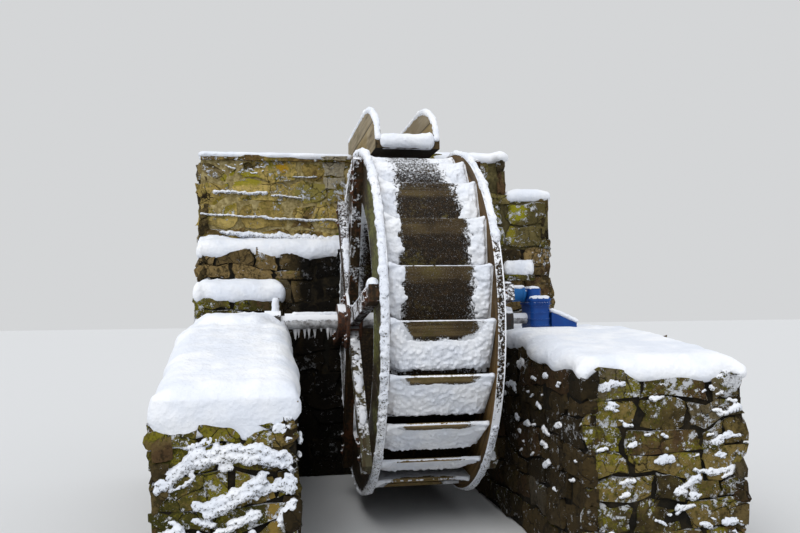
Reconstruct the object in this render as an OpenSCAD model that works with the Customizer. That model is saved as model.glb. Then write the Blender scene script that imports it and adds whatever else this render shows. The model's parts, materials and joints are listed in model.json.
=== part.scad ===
// Overshot wooden water wheel in its stone wheel pit.
// The wheel turns on a steel shaft along X. Water comes down the trough from +Y and turns it over towards -Y.
// The origin is on the ground under the middle of the wheel.

/* [Wheel] */
// Outer radius of the two rims
wheel_r = 1500; // [1350:10:1560]
// Width of the wheel across the outer faces of its rims
wheel_w = 930; // [780:10:1040]
// Radial depth of a rim
rim_depth = 400; // [340:10:450]
// Thickness of a rim
rim_t = 60; // [40:1:80]
// Segments that a rim is built from
felloe_count = 12; // [8:1:16]

/* [Buckets] */
// Buckets round the wheel
bucket_count = 22; // [18:1:24]
// Angle of the first bucket's lip above the level on the near side, in degrees
first_lip = 0.5; // [0:0.5:10]
// Radial distance of the bucket lips inside the rims' edges
lip_inset = 42; // [20:1:70]
// Radial depth of a bucket's mouth
mouth_depth = 163; // [130:1:200]
// Thickness of the bucket boards
board_t = 28; // [18:1:36]
// Width of the narrow upper board at the lip
lip_board_w = 92; // [60:1:150]
// Thickness of the sole boards that close the buckets towards the shaft
sole_t = 28; // [18:1:40]

/* [Arms and hubs] */
// Arms on each side of the wheel
arm_count = 6; // [4:1:8]
// Angle of the first arm above the level on the near side, in degrees
first_arm = 9; // [0:1:40]
// Width of an arm
arm_w = 125; // [90:1:140]
// Thickness of an arm
arm_t = 80; // [50:1:100]
// Distance that the arms end inside the rims' edges
arm_inset = 25; // [10:1:60]
// Radius of a hub's outer flange
flange_r = 250; // [210:5:320]
// Thickness of a hub's outer flange
flange_t = 25; // [16:1:40]
// Radius of a hub's plate behind the arms
back_plate_r = 232; // [200:1:300]
// Thickness of a hub's plate behind the arms
back_plate_t = 20; // [12:1:32]
// Radius of the boss round the shaft
boss_r = 148; // [140:1:170]
// Distance that the boss stands out of the flange
boss_out = 70; // [40:1:100]
// Thickness of the webs between the arms
web_t = 20; // [10:1:24]

/* [Shaft and bearings] */
// Radius of the shaft
shaft_r = 70; // [60:1:90]
// Radius of the shaft's journals
journal_r = 50; // [49:1:56]
// Width of a bearing along the shaft
bearing_w = 140; // [100:5:180]
// Radius of a bearing's round cap
bearing_r = 95; // [85:1:105]
// Length of a bearing's foot across the shaft
foot_l = 380; // [320:10:440]
// Thickness of a bearing's foot
foot_t = 35; // [20:1:45]
// Distance from the left wall's inner edge to the middle of its bearing
left_bearing_in = 110; // [80:5:200]
// Distance from the right wall's inner edge to the middle of its bearing
right_bearing_in = 105; // [80:5:130]
// Length of shaft that stands out of the left bearing
shaft_stub = 60; // [30:5:120]
// Radius of the shaft's turned-down left end
stub_r = 45; // [30:1:48]

/* [Trough] */
// Inside width of the trough
trough_w = 490; // [380:10:600]
// Thickness of the trough's boards
trough_t = 50; // [30:1:60]
// Width of one side board, of which two stand on each other
side_board_h = 220; // [160:5:240]
// Gap between the rims and the trough's floor
trough_gap = 48; // [30:1:90]
// Distance that the trough reaches past the shaft's line
trough_reach = 110; // [0:10:250]
// Length of the sides' rounded front end
nose_l = 850; // [400:10:1000]
// Width of the battens under the floor
batten_w = 90; // [60:1:120]
// Height of the battens under the floor
batten_h = 75; // [50:1:90]
// Place of the front batten behind the shaft's line
batten_y = 560; // [520:10:800]
// Distance between the battens
batten_pitch = 640; // [500:10:700]
// Length of a batten past the trough's side
batten_out = 85; // [40:5:150]

/* [Masonry] */
// Gap between the wheel and the ground under it
under_gap = 200; // [100:10:400]
// Gap between the wheel and the head wall
rear_gap = 100; // [60:10:300]
// Thickness of the left wall, to whose outer face the right wall is the same distance from the wheel's middle
left_wall_t = 850; // [600:10:1100]
// Gap from the wheel's left rim to the left wall
left_gap = 635; // [600:5:700]
// Gap from the wheel's right rim to the right wall
right_gap = 335; // [300:5:380]
// Depth of the left wall's top below the shaft
left_drop = 130; // [130:5:160]
// Depth of the right wall's top below the shaft
right_drop = 150; // [130:5:170]
// Length of the left wall's level top in front of the shaft
left_level_l = 450; // [300:10:900]
// Fall of the left wall's front part
left_slope_h = 330; // [100:10:450]
// Length of the right wall's level top in front of the shaft
right_level_l = 600; // [300:10:900]
// Fall of the right wall's front part
right_slope_h = 150; // [50:10:300]
// Length of the block that stands on the left wall against the head wall
step_l = 350; // [200:10:500]
// Height of that block
step_h = 430; // [250:10:600]
// Thickness of the head wall
head_t = 500; // [400:10:700]
// Height of the ledge on the head wall above the shaft
ledge_up = 750; // [500:10:1000]
// Depth of the ledge on the left
ledge_d = 180; // [80:10:250]
// Height of the head wall's top above the trough's floor
head_up = 250; // [150:10:350]
// Thickness of the coping slab
coping_t = 60; // [40:5:90]
// Overhang of the coping slab
coping_out = 40; // [10:5:80]
// Width of the low shoulder at the right
shoulder_w = 520; // [300:10:700]
// Depth of the shoulder below the head wall's top
shoulder_drop = 420; // [200:10:600]

/* [Snow] */
// Depth of the snow on the side walls
snow_d = 105; // [60:5:140]
// Extra depth of the left wall's snow towards the head wall
snow_bank = 90; // [0:10:120]
// Width over which the snow rounds off at its edges
snow_edge = 130; // [80:10:200]
// Clear way round the bearings and the drive
snow_clear = 30; // [15:5:60]

/* [Drive] */
// Length of the gearbox along the shaft
gearbox_l = 185; // [150:5:220]
// Width of the gearbox across the shaft
gearbox_w = 300; // [250:10:340]
// Height of the gearbox's lid above the shaft
lid_up = 160; // [150:5:200]
// Thickness of the lid's flange
lid_t = 20; // [12:1:36]
// Overhang of the lid's flange
lid_out = 12; // [6:1:18]
// Ribs round the gearbox
rib_count = 4; // [2:1:6]
// Thickness of a rib
rib_t = 10; // [6:1:14]
// Height of the gear head on the lid
gear_head_h = 95; // [80:5:140]
// Length of the gear head along the shaft
gear_head_l = 120; // [100:5:140]
// Width of the gear head across the shaft
gear_head_w = 210; // [190:5:230]
// Corner radius of the gearbox
gearbox_round = 40; // [15:1:60]
// Distance from the right bearing to the gearbox
gearbox_in = 150; // [60:5:180]
// Radius of the generator
generator_r = 72; // [60:1:74]
// Length of the generator
generator_l = 205; // [160:5:230]
// Overhang of the generator's end flange
generator_flange_out = 6; // [3:1:8]
// Thickness of the base plate
base_t = 20; // [12:1:30]
// Length of the sloping bracket
bracket_l = 240; // [180:5:260]
// Height of the bracket beside the gearbox
bracket_h = 215; // [150:5:260]
// Height of the bracket's low end
bracket_low_h = 110; // [40:5:130]

/* [Hidden] */
$fn = 96;
// Gap between pieces that sit on each other
seat = 0.3;
// Gap between boards or segments that lie edge to edge
joint = 0.6;
// Radial clearance of the journals in their bearings
running = 0.05;
// Slack beyond a face that a cut passes through
past = 1;
// Facets round a corner of the snow
snow_facets = 24;

rim_out = wheel_w / 2;
rim_in = rim_out - rim_t;
rim_inner_r = wheel_r - rim_depth;
pitch = 360 / bucket_count;
lip_r = wheel_r - lip_inset;
elbow_r = lip_r - mouth_depth;
sole_top = rim_inner_r + sole_t;

arm_in = rim_out + seat;
arm_out = arm_in + arm_t;
arm_half_step = 180 / arm_count;
// The arms start where the boss and the webs between them leave room
arm_start = max(boss_r + seat,
                (web_t / 2 + joint + arm_w / 2 * cos(arm_half_step)) / sin(arm_half_step));
arm_end = wheel_r - arm_inset;
flange_in = arm_out + seat;
boss_in = rim_out - 2 * back_plate_t;
boss_end = flange_in + flange_t + boss_out;

axle_z = wheel_r + under_gap;
left_face = rim_out + left_gap;
right_face = rim_out + right_gap;
left_top = axle_z - left_drop;
right_top = axle_z - right_drop;
left_bearing_x = -left_face - left_bearing_in;
right_bearing_x = right_face + right_bearing_in;

head_y = wheel_r + rear_gap;
half_l = head_y + head_t;
half_w = left_face + left_wall_t;
ledge_z = axle_z + ledge_up;

trough_z = axle_z + wheel_r + trough_gap;
trough_top = trough_z + trough_t + 2 * side_board_h + seat + joint;
trough_half = trough_w / 2 + trough_t;
head_top = trough_z + head_up;
shoulder_z = head_top - shoulder_drop;

gearbox_x = right_bearing_x + bearing_w / 2 + gearbox_in;
shaft_end = gearbox_x + gearbox_l / 2;
base_top = right_top + seat + base_t;
gear_head_z = axle_z + lid_up + lid_t;
bracket_x = gearbox_x + gearbox_l + lid_out + seat;
drive_half = max(gearbox_w / 2 + lid_out, foot_l / 2);
rib_out = lid_out / 2;

// Point at a radius and an angle in the wheel's plane
function polar(r, a) = r * [cos(a), sin(a)];
// Unit vector from one point to another
function toward(p, q) = (q - p) / norm(q - p);

// The wheel's plane, where local x points to the near side, local y up and local z to the left
module wheel_plane() {
    translate([0, 0, axle_z]) rotate([90, 0, -90]) children();
}

// A shape whose local z runs along the shaft to the right
module along_shaft(x) {
    translate([x, 0, axle_z]) rotate([0, 90, 0]) children();
}

// A block between two corners
module block(low, high) {
    translate(low) cube(high - low);
}

// A plate cut from a side view, where local x is Y and local y is Z
module side_view(x, width) {
    translate([x, 0, 0]) rotate([90, 0, 90]) linear_extrude(width) children();
}

module rounded_rect(size, r) {
    for (x = [-1, 1], y = [-1, 1])
        translate([x * (size.x / 2 - r), y * (size.y / 2 - r)]) circle(r);
    square([size.x - 2 * r, size.y], center = true);
    square([size.x, size.y - 2 * r], center = true);
}

// Masonry

// The left wall carries a block that stands against the head wall
module left_wall() {
    color("darkkhaki") {
        side_view(-half_w, half_w - left_face)
            polygon([[-half_l, 0], [-half_l, left_top - left_slope_h], [-left_level_l, left_top],
                     [head_y - seat, left_top], [head_y - seat, 0]]);
        block([-half_w, head_y - step_l, left_top + seat], [-left_face, head_y - seat, left_top + step_h]);
    }
}

module right_wall() {
    color("darkkhaki")
        side_view(right_face, half_w - right_face)
            polygon([[-half_l, 0], [-half_l, right_top - right_slope_h], [-right_level_l, right_top],
                     [head_y - seat, right_top], [head_y - seat, 0]]);
}

module head_wall_base() {
    color("darkkhaki") block([-half_w, head_y, 0], [half_w, half_l, ledge_z]);
}

module head_wall_left() {
    color("darkkhaki")
        block([-half_w, head_y + ledge_d, ledge_z + seat], [-trough_half - seat, half_l, head_top - coping_t]);
}

module head_wall_middle() {
    color("darkkhaki")
        block([-trough_half, head_y, ledge_z + seat], [trough_half, half_l, trough_z - seat]);
}

// The right part steps down to a low shoulder
module head_wall_right() {
    color("darkkhaki") {
        block([trough_half + seat, head_y, ledge_z + seat], [half_w - shoulder_w, half_l, head_top]);
        block([half_w - shoulder_w + seat, head_y, ledge_z + seat], [half_w, half_l, shoulder_z]);
    }
}

module coping() {
    color("tan")
        block([-half_w, head_y + ledge_d - coping_out, head_top - coping_t + seat],
              [-trough_half - seat, half_l, head_top + seat]);
}

// Snow

// Height of a side wall's top at a place on its slope
function slope_z(top, fall, level_l, y) = top - fall * (-level_l - y) / (half_l - level_l);

// A mound over a side wall. The points run along the wall, each with its height and the snow's depth there.
module mound(low_x, high_x, points) {
    for (i = [0:len(points) - 2])
        hull()
            for (x = [low_x + snow_edge, high_x - snow_edge], p = [points[i], points[i + 1]])
                translate([x, p[0], p[1]]) scale([snow_edge, snow_edge, p[2]]) sphere(1, $fn = snow_facets);
}

// Everything under the snow on a side wall, with what stands on the wall's far end
module under_snow(low_x, high_x, top, fall, level_l, end_y) {
    side_view(low_x - past, high_x - low_x + 2 * past)
        polygon([[-half_l - past, 0], [-half_l - past, top - fall + seat], [-level_l, top + seat],
                 [end_y - seat, top + seat], [end_y - seat, trough_z], [half_l, trough_z], [half_l, 0]]);
}

// Snow lies on both side walls. It leaves the bearings and the drive free, and the way to the shaft's left end.
module wall_snow() {
    front_y = snow_edge - half_l;
    left_end = head_y - step_l;
    color("white") {
        difference() {
            mound(-half_w, -left_face,
                  [[front_y, slope_z(left_top, left_slope_h, left_level_l, front_y), snow_d],
                   [-left_level_l, left_top, snow_d],
                   [left_end, left_top, snow_d + snow_bank]]);
            under_snow(-half_w, -left_face, left_top, left_slope_h, left_level_l, left_end);
            block([left_bearing_x - bearing_w / 2 - shaft_stub - snow_clear, -foot_l / 2 - snow_clear, 0],
                  [-left_face + past, foot_l / 2 + snow_clear, trough_z]);
            block([-half_w - past, -left_drop, 0], [-left_face + past, left_drop, trough_z]);
        }
        difference() {
            mound(right_face, half_w,
                  [[front_y, slope_z(right_top, right_slope_h, right_level_l, front_y), snow_d],
                   [-right_level_l, right_top, snow_d],
                   [head_y, right_top, snow_d]]);
            under_snow(right_face, half_w, right_top, right_slope_h, right_level_l, head_y);
            block([right_face - past, -drive_half - snow_clear, 0],
                  [bracket_x + bracket_l + lid_out + snow_clear, drive_half + snow_clear, trough_z]);
        }
    }
}

// Trough

module trough_floor() {
    color("burlywood") block([-trough_half, -trough_reach, trough_z], [trough_half, half_l, trough_z + trough_t]);
}

// One side of the trough, two boards high, whose front end is a quarter of an ellipse
module trough_side(x) {
    side_l = half_l + trough_reach;
    side_h = 2 * side_board_h + joint;
    side_view(x, trough_t)
        translate([-trough_reach, trough_z + trough_t + seat])
            for (foot = [0, side_board_h + joint])
                intersection() {
                    translate([0, foot]) square([side_l, side_board_h]);
                    union() {
                        translate([nose_l, 0]) scale([nose_l, side_h]) circle(1);
                        translate([nose_l, 0]) square([side_l - nose_l, side_h]);
                    }
                }
}

module trough_side_left() {
    color("burlywood") trough_side(-trough_half);
}

module trough_side_right() {
    color("burlywood") trough_side(trough_w / 2);
}

module trough_battens() {
    reach = trough_half + batten_out;
    color("saddlebrown")
        for (y = [batten_y, batten_y + batten_pitch])
            block([-reach, y, trough_z - seat - batten_h], [reach, y + batten_w, trough_z - seat]);
}

// Bearings: a cast foot, a pedestal and a round cap with the journal's bore through them

module bearing(x, top) {
    drop = axle_z - top - seat;
    along_shaft(x - bearing_w / 2)
        difference() {
            union() {
                cylinder(h = bearing_w, r = bearing_r);
                translate([0, -bearing_r, 0]) cube([drop, 2 * bearing_r, bearing_w]);
                translate([drop - foot_t, -foot_l / 2, 0]) cube([foot_t, foot_l, bearing_w]);
            }
            translate([0, 0, -past]) cylinder(h = bearing_w + 2 * past, r = journal_r + running);
        }
}

module bearing_left() {
    color("dimgray") bearing(left_bearing_x, left_top);
}

module bearing_right() {
    color("dimgray") bearing(right_bearing_x, right_top);
}

// Drive on the right wall

// A base plate with a sloping bracket welded on beside the gearbox
module drive_base() {
    color("royalblue") {
        block([gearbox_x - lid_out, -gearbox_w / 2 - lid_out, right_top + seat],
              [bracket_x + bracket_l + lid_out, gearbox_w / 2 + lid_out, base_top]);
        translate([bracket_x, gearbox_w / 2, base_top - base_t / 2])
            rotate([90, 0, 0])
                linear_extrude(gearbox_w)
                    polygon([[0, 0], [bracket_l, 0], [bracket_l, bracket_low_h], [0, bracket_h]]);
    }
}

// A plate round the gearbox that stands out of its body
module collar(foot, height, out) {
    translate([gearbox_x + gearbox_l / 2, 0, foot])
        linear_extrude(height)
            rounded_rect([gearbox_l + 2 * out, gearbox_w + 2 * out], gearbox_round);
}

// The gearbox takes the end of the shaft in a blind bore
module gearbox() {
    body_foot = base_top + seat;
    body_h = axle_z + lid_up - body_foot;
    rib_pitch = body_h / (rib_count + 1);
    color("royalblue")
        difference() {
            union() {
                collar(body_foot, body_h, 0);
                for (i = [0:rib_count])
                    collar(body_foot + i * rib_pitch, rib_t, rib_out);
                collar(axle_z + lid_up - 2 * lid_t, 3 * lid_t, rib_out);
                collar(axle_z + lid_up, lid_t, lid_out);
                translate([gearbox_x + gear_head_l / 2, 0, gear_head_z])
                    linear_extrude(gear_head_h) rounded_rect([gear_head_l, gear_head_w], gearbox_round);
            }
            along_shaft(gearbox_x - rib_out - past)
                cylinder(h = gearbox_l / 2 + rib_out + past + seat, r = journal_r + running);
        }
}

// The generator hangs beside the gear head on its neck
module generator() {
    neck_r = 2 / 5 * gear_head_h;
    neck_l = 2 * lid_out;
    color("dodgerblue")
        translate([gearbox_x - seat - neck_l - generator_l, 0, gear_head_z + gear_head_h / 2])
            rotate([0, 90, 0]) {
                cylinder(h = generator_l, r = generator_r);
                cylinder(h = lid_t, r = generator_r + generator_flange_out);
                translate([0, 0, generator_l - lid_t]) cylinder(h = lid_t, r = generator_r + generator_flange_out);
                cylinder(h = generator_l + neck_l, r = neck_r);
            }
}

// Wheel

module shaft() {
    neck_left = left_bearing_x + bearing_w / 2 + shaft_r / 2;
    neck_right = right_bearing_x - bearing_w / 2 - shaft_r / 2;
    shoulder_left = left_bearing_x - bearing_w / 2;
    color("lightsteelblue") {
        along_shaft(neck_left) cylinder(h = neck_right - neck_left, r = shaft_r);
        along_shaft(shoulder_left) cylinder(h = neck_left - shoulder_left, r = journal_r);
        along_shaft(shoulder_left - shaft_stub) cylinder(h = shaft_stub, r = stub_r);
        along_shaft(neck_right) cylinder(h = shaft_end - neck_right, r = journal_r);
    }
}

// Spool hub for the right side: the arms stand between its two plates and its webs
module hub() {
    along_shaft(0)
        difference() {
            union() {
                translate([0, 0, boss_in]) cylinder(h = boss_end - boss_in, r = boss_r);
                translate([0, 0, rim_out - back_plate_t]) cylinder(h = back_plate_t, r = back_plate_r);
                translate([0, 0, flange_in]) cylinder(h = flange_t, r = flange_r);
                for (i = [0:arm_count - 1])
                    rotate(-90 - first_arm - (i + 1 / 2) * 360 / arm_count)
                        translate([0, -web_t / 2, rim_out - back_plate_t / 2])
                            cube([back_plate_r - web_t, web_t, flange_in - rim_out + back_plate_t]);
            }
            translate([0, 0, boss_in - past]) cylinder(h = boss_end - boss_in + 2 * past, r = shaft_r + seat);
        }
}

module hub_right() {
    color("sienna") hub();
}

module hub_left() {
    color("sienna") mirror([1, 0, 0]) hub();
}

module arms(z) {
    wheel_plane()
        for (i = [0:arm_count - 1])
            rotate(first_arm + i * 360 / arm_count)
                translate([arm_start, -arm_w / 2, z]) cube([arm_end - arm_start, arm_w, arm_t]);
}

module arms_left() {
    color("saddlebrown") arms(arm_in);
}

module arms_right() {
    color("saddlebrown") arms(-arm_out);
}

module rim(z) {
    step = 360 / felloe_count;
    joint_angle = joint / rim_inner_r * 180 / PI;
    wheel_plane()
        for (i = [0:felloe_count - 1])
            rotate(first_arm + i * step)
                rotate_extrude(angle = step - joint_angle)
                    translate([rim_inner_r, z]) square([rim_depth, rim_t]);
}

module rim_left() {
    color("olivedrab") rim(rim_in);
}

module rim_right() {
    color("olivedrab") rim(-rim_out);
}

// A board between the rims, from its outline in the wheel's plane
module board(outline) {
    wheel_plane()
        linear_extrude(2 * (rim_in - seat), center = true) polygon(outline);
}

// One bucket: two face boards from the lip to the elbow, a floor board from the elbow inwards and two sole boards
module bucket(i) {
    lip_a = first_lip + (i - 1) * pitch;
    elbow_a = lip_a - pitch;
    lip = polar(lip_r, lip_a);
    elbow = polar(elbow_r, elbow_a);
    down = toward(lip, elbow);
    inward = [down.y, -down.x] * board_t;
    seam = lip + down * lip_board_w;
    radial = polar(1, elbow_a);
    across = polar(1, elbow_a + 90);
    mitre = -down * (inward * across) / (down * across);
    sole_half = pitch / 4;
    floor_in = radial * (sole_top / cos(sole_half) + seat);
    color("saddlebrown") {
        board([lip, seam, seam + inward, lip + inward]);
        board([seam + down * joint, elbow, elbow + inward + mitre, seam + down * joint + inward]);
        board([elbow - across * seat, floor_in - across * seat,
               floor_in - across * (seat + board_t), elbow - across * (seat + board_t)]);
    }
    color("peru")
        for (side = [1, 3]) {
            middle = elbow_a + side * sole_half;
            inner_half = polar(rim_inner_r * tan(sole_half) - joint / 2, middle + 90);
            outer_half = polar(sole_top * tan(sole_half) - joint / 2, middle + 90);
            board([polar(rim_inner_r, middle) - inner_half, polar(sole_top, middle) - outer_half,
                   polar(sole_top, middle) + outer_half, polar(rim_inner_r, middle) + inner_half]);
        }
}

left_wall();
right_wall();
head_wall_base();
head_wall_left();
head_wall_middle();
head_wall_right();
coping();
wall_snow();
trough_floor();
trough_side_left();
trough_side_right();
trough_battens();
bearing_left();
bearing_right();
drive_base();
gearbox();
generator();
shaft();
hub_left();
hub_right();
arms_left();
arms_right();
rim_left();
rim_right();
for (i = [1:bucket_count])
    bucket(i);
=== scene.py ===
import json
import math
import random

import bpy
from mathutils import Euler, Matrix, Vector

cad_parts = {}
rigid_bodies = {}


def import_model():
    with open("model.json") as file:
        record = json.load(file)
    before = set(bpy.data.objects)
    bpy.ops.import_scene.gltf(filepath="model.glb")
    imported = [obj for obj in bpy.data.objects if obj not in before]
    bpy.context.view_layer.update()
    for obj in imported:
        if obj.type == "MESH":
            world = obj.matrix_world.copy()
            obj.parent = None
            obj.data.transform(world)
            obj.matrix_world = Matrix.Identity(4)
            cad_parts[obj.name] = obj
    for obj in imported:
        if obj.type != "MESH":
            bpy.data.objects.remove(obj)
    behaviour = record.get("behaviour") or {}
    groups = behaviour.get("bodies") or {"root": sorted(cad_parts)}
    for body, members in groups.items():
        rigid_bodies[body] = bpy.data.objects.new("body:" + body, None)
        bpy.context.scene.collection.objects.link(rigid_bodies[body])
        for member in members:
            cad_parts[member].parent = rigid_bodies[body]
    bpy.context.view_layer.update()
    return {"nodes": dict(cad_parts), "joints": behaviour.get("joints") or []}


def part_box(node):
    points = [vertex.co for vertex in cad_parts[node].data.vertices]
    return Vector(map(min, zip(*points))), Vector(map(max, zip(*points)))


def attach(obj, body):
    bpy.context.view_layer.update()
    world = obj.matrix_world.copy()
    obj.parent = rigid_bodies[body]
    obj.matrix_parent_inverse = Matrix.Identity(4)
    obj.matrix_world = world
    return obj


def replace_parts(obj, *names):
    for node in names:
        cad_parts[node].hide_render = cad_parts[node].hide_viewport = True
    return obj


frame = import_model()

NODES = frame["nodes"]
UP = Vector((0, 0, 1))
RIGHT = Vector((1, 0, 0))


# The wheel, in metres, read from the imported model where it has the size

AXLE_Z = frame["joints"][0]["pos_m"][2]
AXLE = Vector((0, 0, AXLE_Z))
RIM_LOW, RIM_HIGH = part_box("rim_left")
RIM_R = (RIM_HIGH[2] - RIM_LOW[2]) / 2
RIM_OUT = -RIM_LOW[0]
RIM_IN = -RIM_HIGH[0]
RIM_MIDDLE = RIM_OUT - (RIM_OUT - RIM_IN) / 2
RIM_INNER_R = 1.1
LIP_R = 1.458
ELBOW_R = 1.295
LIP_BOARD = 0.092
BUCKETS = sum(1 for name in NODES if name.startswith("bucket_"))
PITCH = math.radians(360 / BUCKETS)
FIRST_LIP = math.radians(0.5)
FIRST_ARM = math.radians(9)
ARMS = 6
ARM_OUT = -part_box("arms_left")[0][0]
ARM_W = 0.125

# Bolts of an arm: how far they stand out from it, their distance from the axle and their shift across the arm
ARM_BOLTS = [(0, 1.18, -0.03), (0, 1.27, 0.03), (0, 1.36, -0.03), (0.0253, 0.185, 0), (0.0253, 0.225, 0)]


# Masonry

# Side walls: the height of the level part, the height of the front and the y where the slope ends
SLOPES = {"left_wall": (AXLE_Z - 0.130, 1.240, -0.45), "right_wall": (AXLE_Z - 0.150, 1.400, -0.60)}
STEP_LOW = Vector((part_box("left_wall")[0][0], 1.25, SLOPES["left_wall"][0]))
SHOULDER_W = 0.52
SHOULDER_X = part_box("head_wall_right")[1][0] - SHOULDER_W
SHOULDER_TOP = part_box("head_wall_right")[1][2] - 0.42
STONE_DEPTH = 0.12
STONE_OVERLAP = 0.016

# Least and greatest height of a course, then least and greatest width of a stone
RUBBLE = (0.13, 0.27, 0.17, 0.55)
BIG_BLOCKS = (0.20, 0.32, 0.28, 0.72)

# Sides of a block: whether the run starts at the high x and the high y, the way that it runs and the way out
SIDES = {
    "front": (0, 0, (1, 0, 0), (0, -1, 0)),
    "back": (1, 1, (-1, 0, 0), (0, 1, 0)),
    "left": (0, 0, (0, 1, 0), (-1, 0, 0)),
    "left_end": (0, 1, (0, -1, 0), (-1, 0, 0)),
    "right": (1, 1, (0, -1, 0), (1, 0, 0)),
    "right_end": (1, 0, (0, 1, 0), (1, 0, 0)),
}

# Faces of stones: the face's name, the block that it is on, the side of it and the stone's look
FACES = [
    ("left_wall_inner", "left_wall", "right", "pit_stone"),
    ("left_wall_outer", "left_wall", "left", "field_stone"),
    ("left_wall_front", "left_wall", "front", "near_stone"),
    ("right_wall_inner", "right_wall", "left", "pit_stone"),
    ("right_wall_outer", "right_wall", "right", "field_stone"),
    ("right_wall_front", "right_wall", "front", "near_stone"),
    ("head_base_front", "head_wall_base", "front", "deep_stone"),
    ("head_base_back", "head_wall_base", "back", "field_stone"),
    ("head_base_left_end", "head_wall_base", "left_end", "field_stone"),
    ("head_base_right_end", "head_wall_base", "right_end", "field_stone"),
    ("step_front", "step", "front", "mossy_stone"),
    ("step_inner_end", "step", "right", "mossy_stone"),
    ("step_outer_end", "step", "left", "mossy_stone"),
    ("head_left_front", "head_wall_left", "front", "yellow_stone"),
    ("head_left_back", "head_wall_left", "back", "field_stone"),
    ("head_left_end", "head_wall_left", "left_end", "field_stone"),
    ("head_right_front", "head_wall_right", "front", "olive_stone"),
    ("head_right_back", "head_wall_right", "back", "field_stone"),
    ("head_shoulder_end", "head_wall_right", "right_end", "field_stone"),
    ("head_right_end", "above_shoulder", "right_end", "field_stone"),
    ("head_middle_front", "head_wall_middle", "front", "yellow_stone"),
    ("head_middle_back", "head_wall_middle", "back", "field_stone"),
]

# Snow on the upper head wall's ledges: from x and z, to x and z, and its depth
HEAD_SNOW_LINES = [
    (-1.80, 3.085, -1.25, 3.070, 0.020), (-1.19, 3.060, -0.86, 3.030, 0.010),
    (-0.95, 3.255, -0.70, 3.265, 0.007), (-1.93, 2.850, -1.25, 2.805, 0.011),
    (-1.25, 2.805, -0.36, 2.778, 0.013), (-1.72, 2.640, -1.10, 2.600, 0.028),
    (-1.10, 2.600, -0.42, 2.560, 0.032),
]

# Bands of snow on the left wall's front, in the same form
LEFT_SNOW_BANDS = [
    (-1.94, 0.745, -1.74, 0.915, 0.030), (-1.74, 0.915, -1.41, 0.945, 0.040),
    (-1.41, 0.945, -1.19, 0.890, 0.045), (-1.64, 0.590, -1.30, 0.770, 0.040),
    (-1.50, 0.490, -1.34, 0.560, 0.024), (-1.92, 0.430, -1.80, 0.470, 0.030),
    (-1.20, 0.500, -1.12, 0.620, 0.026), (-1.75, 0.330, -1.62, 0.400, 0.022),
    (-1.40, 0.260, -1.22, 0.330, 0.026),
]


# Trough and gear unit

TROUGH_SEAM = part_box("trough_side_left")[0][2] + 0.225
NOSE_L = 0.85
LID_TOP = AXLE_Z + 0.180
COLLAR_Z = AXLE_Z + 0.138
GEAR_HEAD_L = 0.120
GEAR_HEAD_W = 0.210
BRACKET_L = 0.240


# Colours, as linear values

SNOW = (0.86, 0.88, 0.92)
SNOW_SHADE = (0.74, 0.78, 0.86)
ICE = (0.60, 0.61, 0.63)
SHEET_ICE = (0.40, 0.41, 0.43)
# Dark wet wood; the trough also uses it as painted shade on its undersides and near ends
WET_WOOD_AND_SHADE = (0.012, 0.008, 0.004)
BROWN_WOOD = (0.055, 0.033, 0.013)
RED_WOOD = (0.085, 0.030, 0.012)
OLIVE_WOOD = (0.105, 0.088, 0.022)
OCHRE_WOOD = (0.20, 0.12, 0.042)
TAN_WOOD = (0.24, 0.17, 0.075)
CHESTNUT_WOOD = (0.26, 0.115, 0.045)
HONEY_WOOD = (0.26, 0.185, 0.055)
DULL_WOOD = (0.15, 0.115, 0.065)
SILVER_WOOD = (0.24, 0.21, 0.155)
GREY_WOOD = (0.38, 0.31, 0.20)
MOSS = (0.060, 0.060, 0.010)
OLIVE_MOSS = (0.150, 0.158, 0.040)
GREY_MOSS = (0.13, 0.13, 0.075)
BRIGHT_MOSS = (0.26, 0.235, 0.018)
MORTAR = (0.007, 0.006, 0.004)
CRACK = (0.006, 0.005, 0.004)
# Near black, the painted shade of the deep pit
PIT_SHADE_BLACK = (0.004, 0.0035, 0.003)
DARK_STONE = (0.026, 0.019, 0.009)
BROWN_STONE = (0.115, 0.078, 0.030)
RED_STONE = (0.115, 0.062, 0.030)
GREY_STONE = (0.16, 0.14, 0.105)
FIELD_STONE = (0.20, 0.145, 0.055)
OCHRE_STONE = (0.31, 0.225, 0.070)
YELLOW_STONE = (0.36, 0.25, 0.10)
RUST = (0.115, 0.040, 0.014)
DARK_RUST = (0.030, 0.014, 0.008)
BRIGHT_RUST = (0.28, 0.11, 0.035)
DARK_IRON = (0.022, 0.021, 0.020)
DULL_STEEL = (0.20, 0.19, 0.185)
BLUE = (0.001, 0.043, 0.23)
WORN_BLUE = (0.002, 0.062, 0.29)
LIGHT_BLUE = (0.002, 0.095, 0.31)
WORN_LIGHT_BLUE = (0.004, 0.125, 0.37)
FLOOR_GREY = (0.62, 0.63, 0.64)
BACKDROP_GREY = (0.66, 0.67, 0.68)
DAYLIGHT = (0.95, 0.97, 1.0)

# Patches of moss and lichen on the upper head wall: x, z, half their width and height, and their colour
WALL_SPOTS = [
    (-1.51, 3.24, 0.26, 0.12, (0.34, 0.30, 0.015)), (-1.70, 2.96, 0.16, 0.09, (0.24, 0.19, 0.020)),
    (-1.07, 3.36, 0.09, 0.07, (0.52, 0.30, 0.015)), (-0.72, 3.08, 0.30, 0.16, (0.30, 0.26, 0.070)),
    (-1.62, 3.38, 0.34, 0.07, DARK_STONE), (-0.42, 2.62, 0.12, 0.10, (0.05, 0.085, 0.010)),
    (1.57, 2.88, 0.15, 0.13, (0.36, 0.34, 0.015)), (1.50, 2.66, 0.06, 0.16, (0.30, 0.26, 0.020)),
]

# The same on the left wall's front
FRONT_SPOTS = [(-1.24, 0.55, 0.05, 0.17, (0.33, 0.22, 0.050)), (-1.76, 0.36, 0.10, 0.09, (0.20, 0.11, 0.035))]


# Camera

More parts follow.
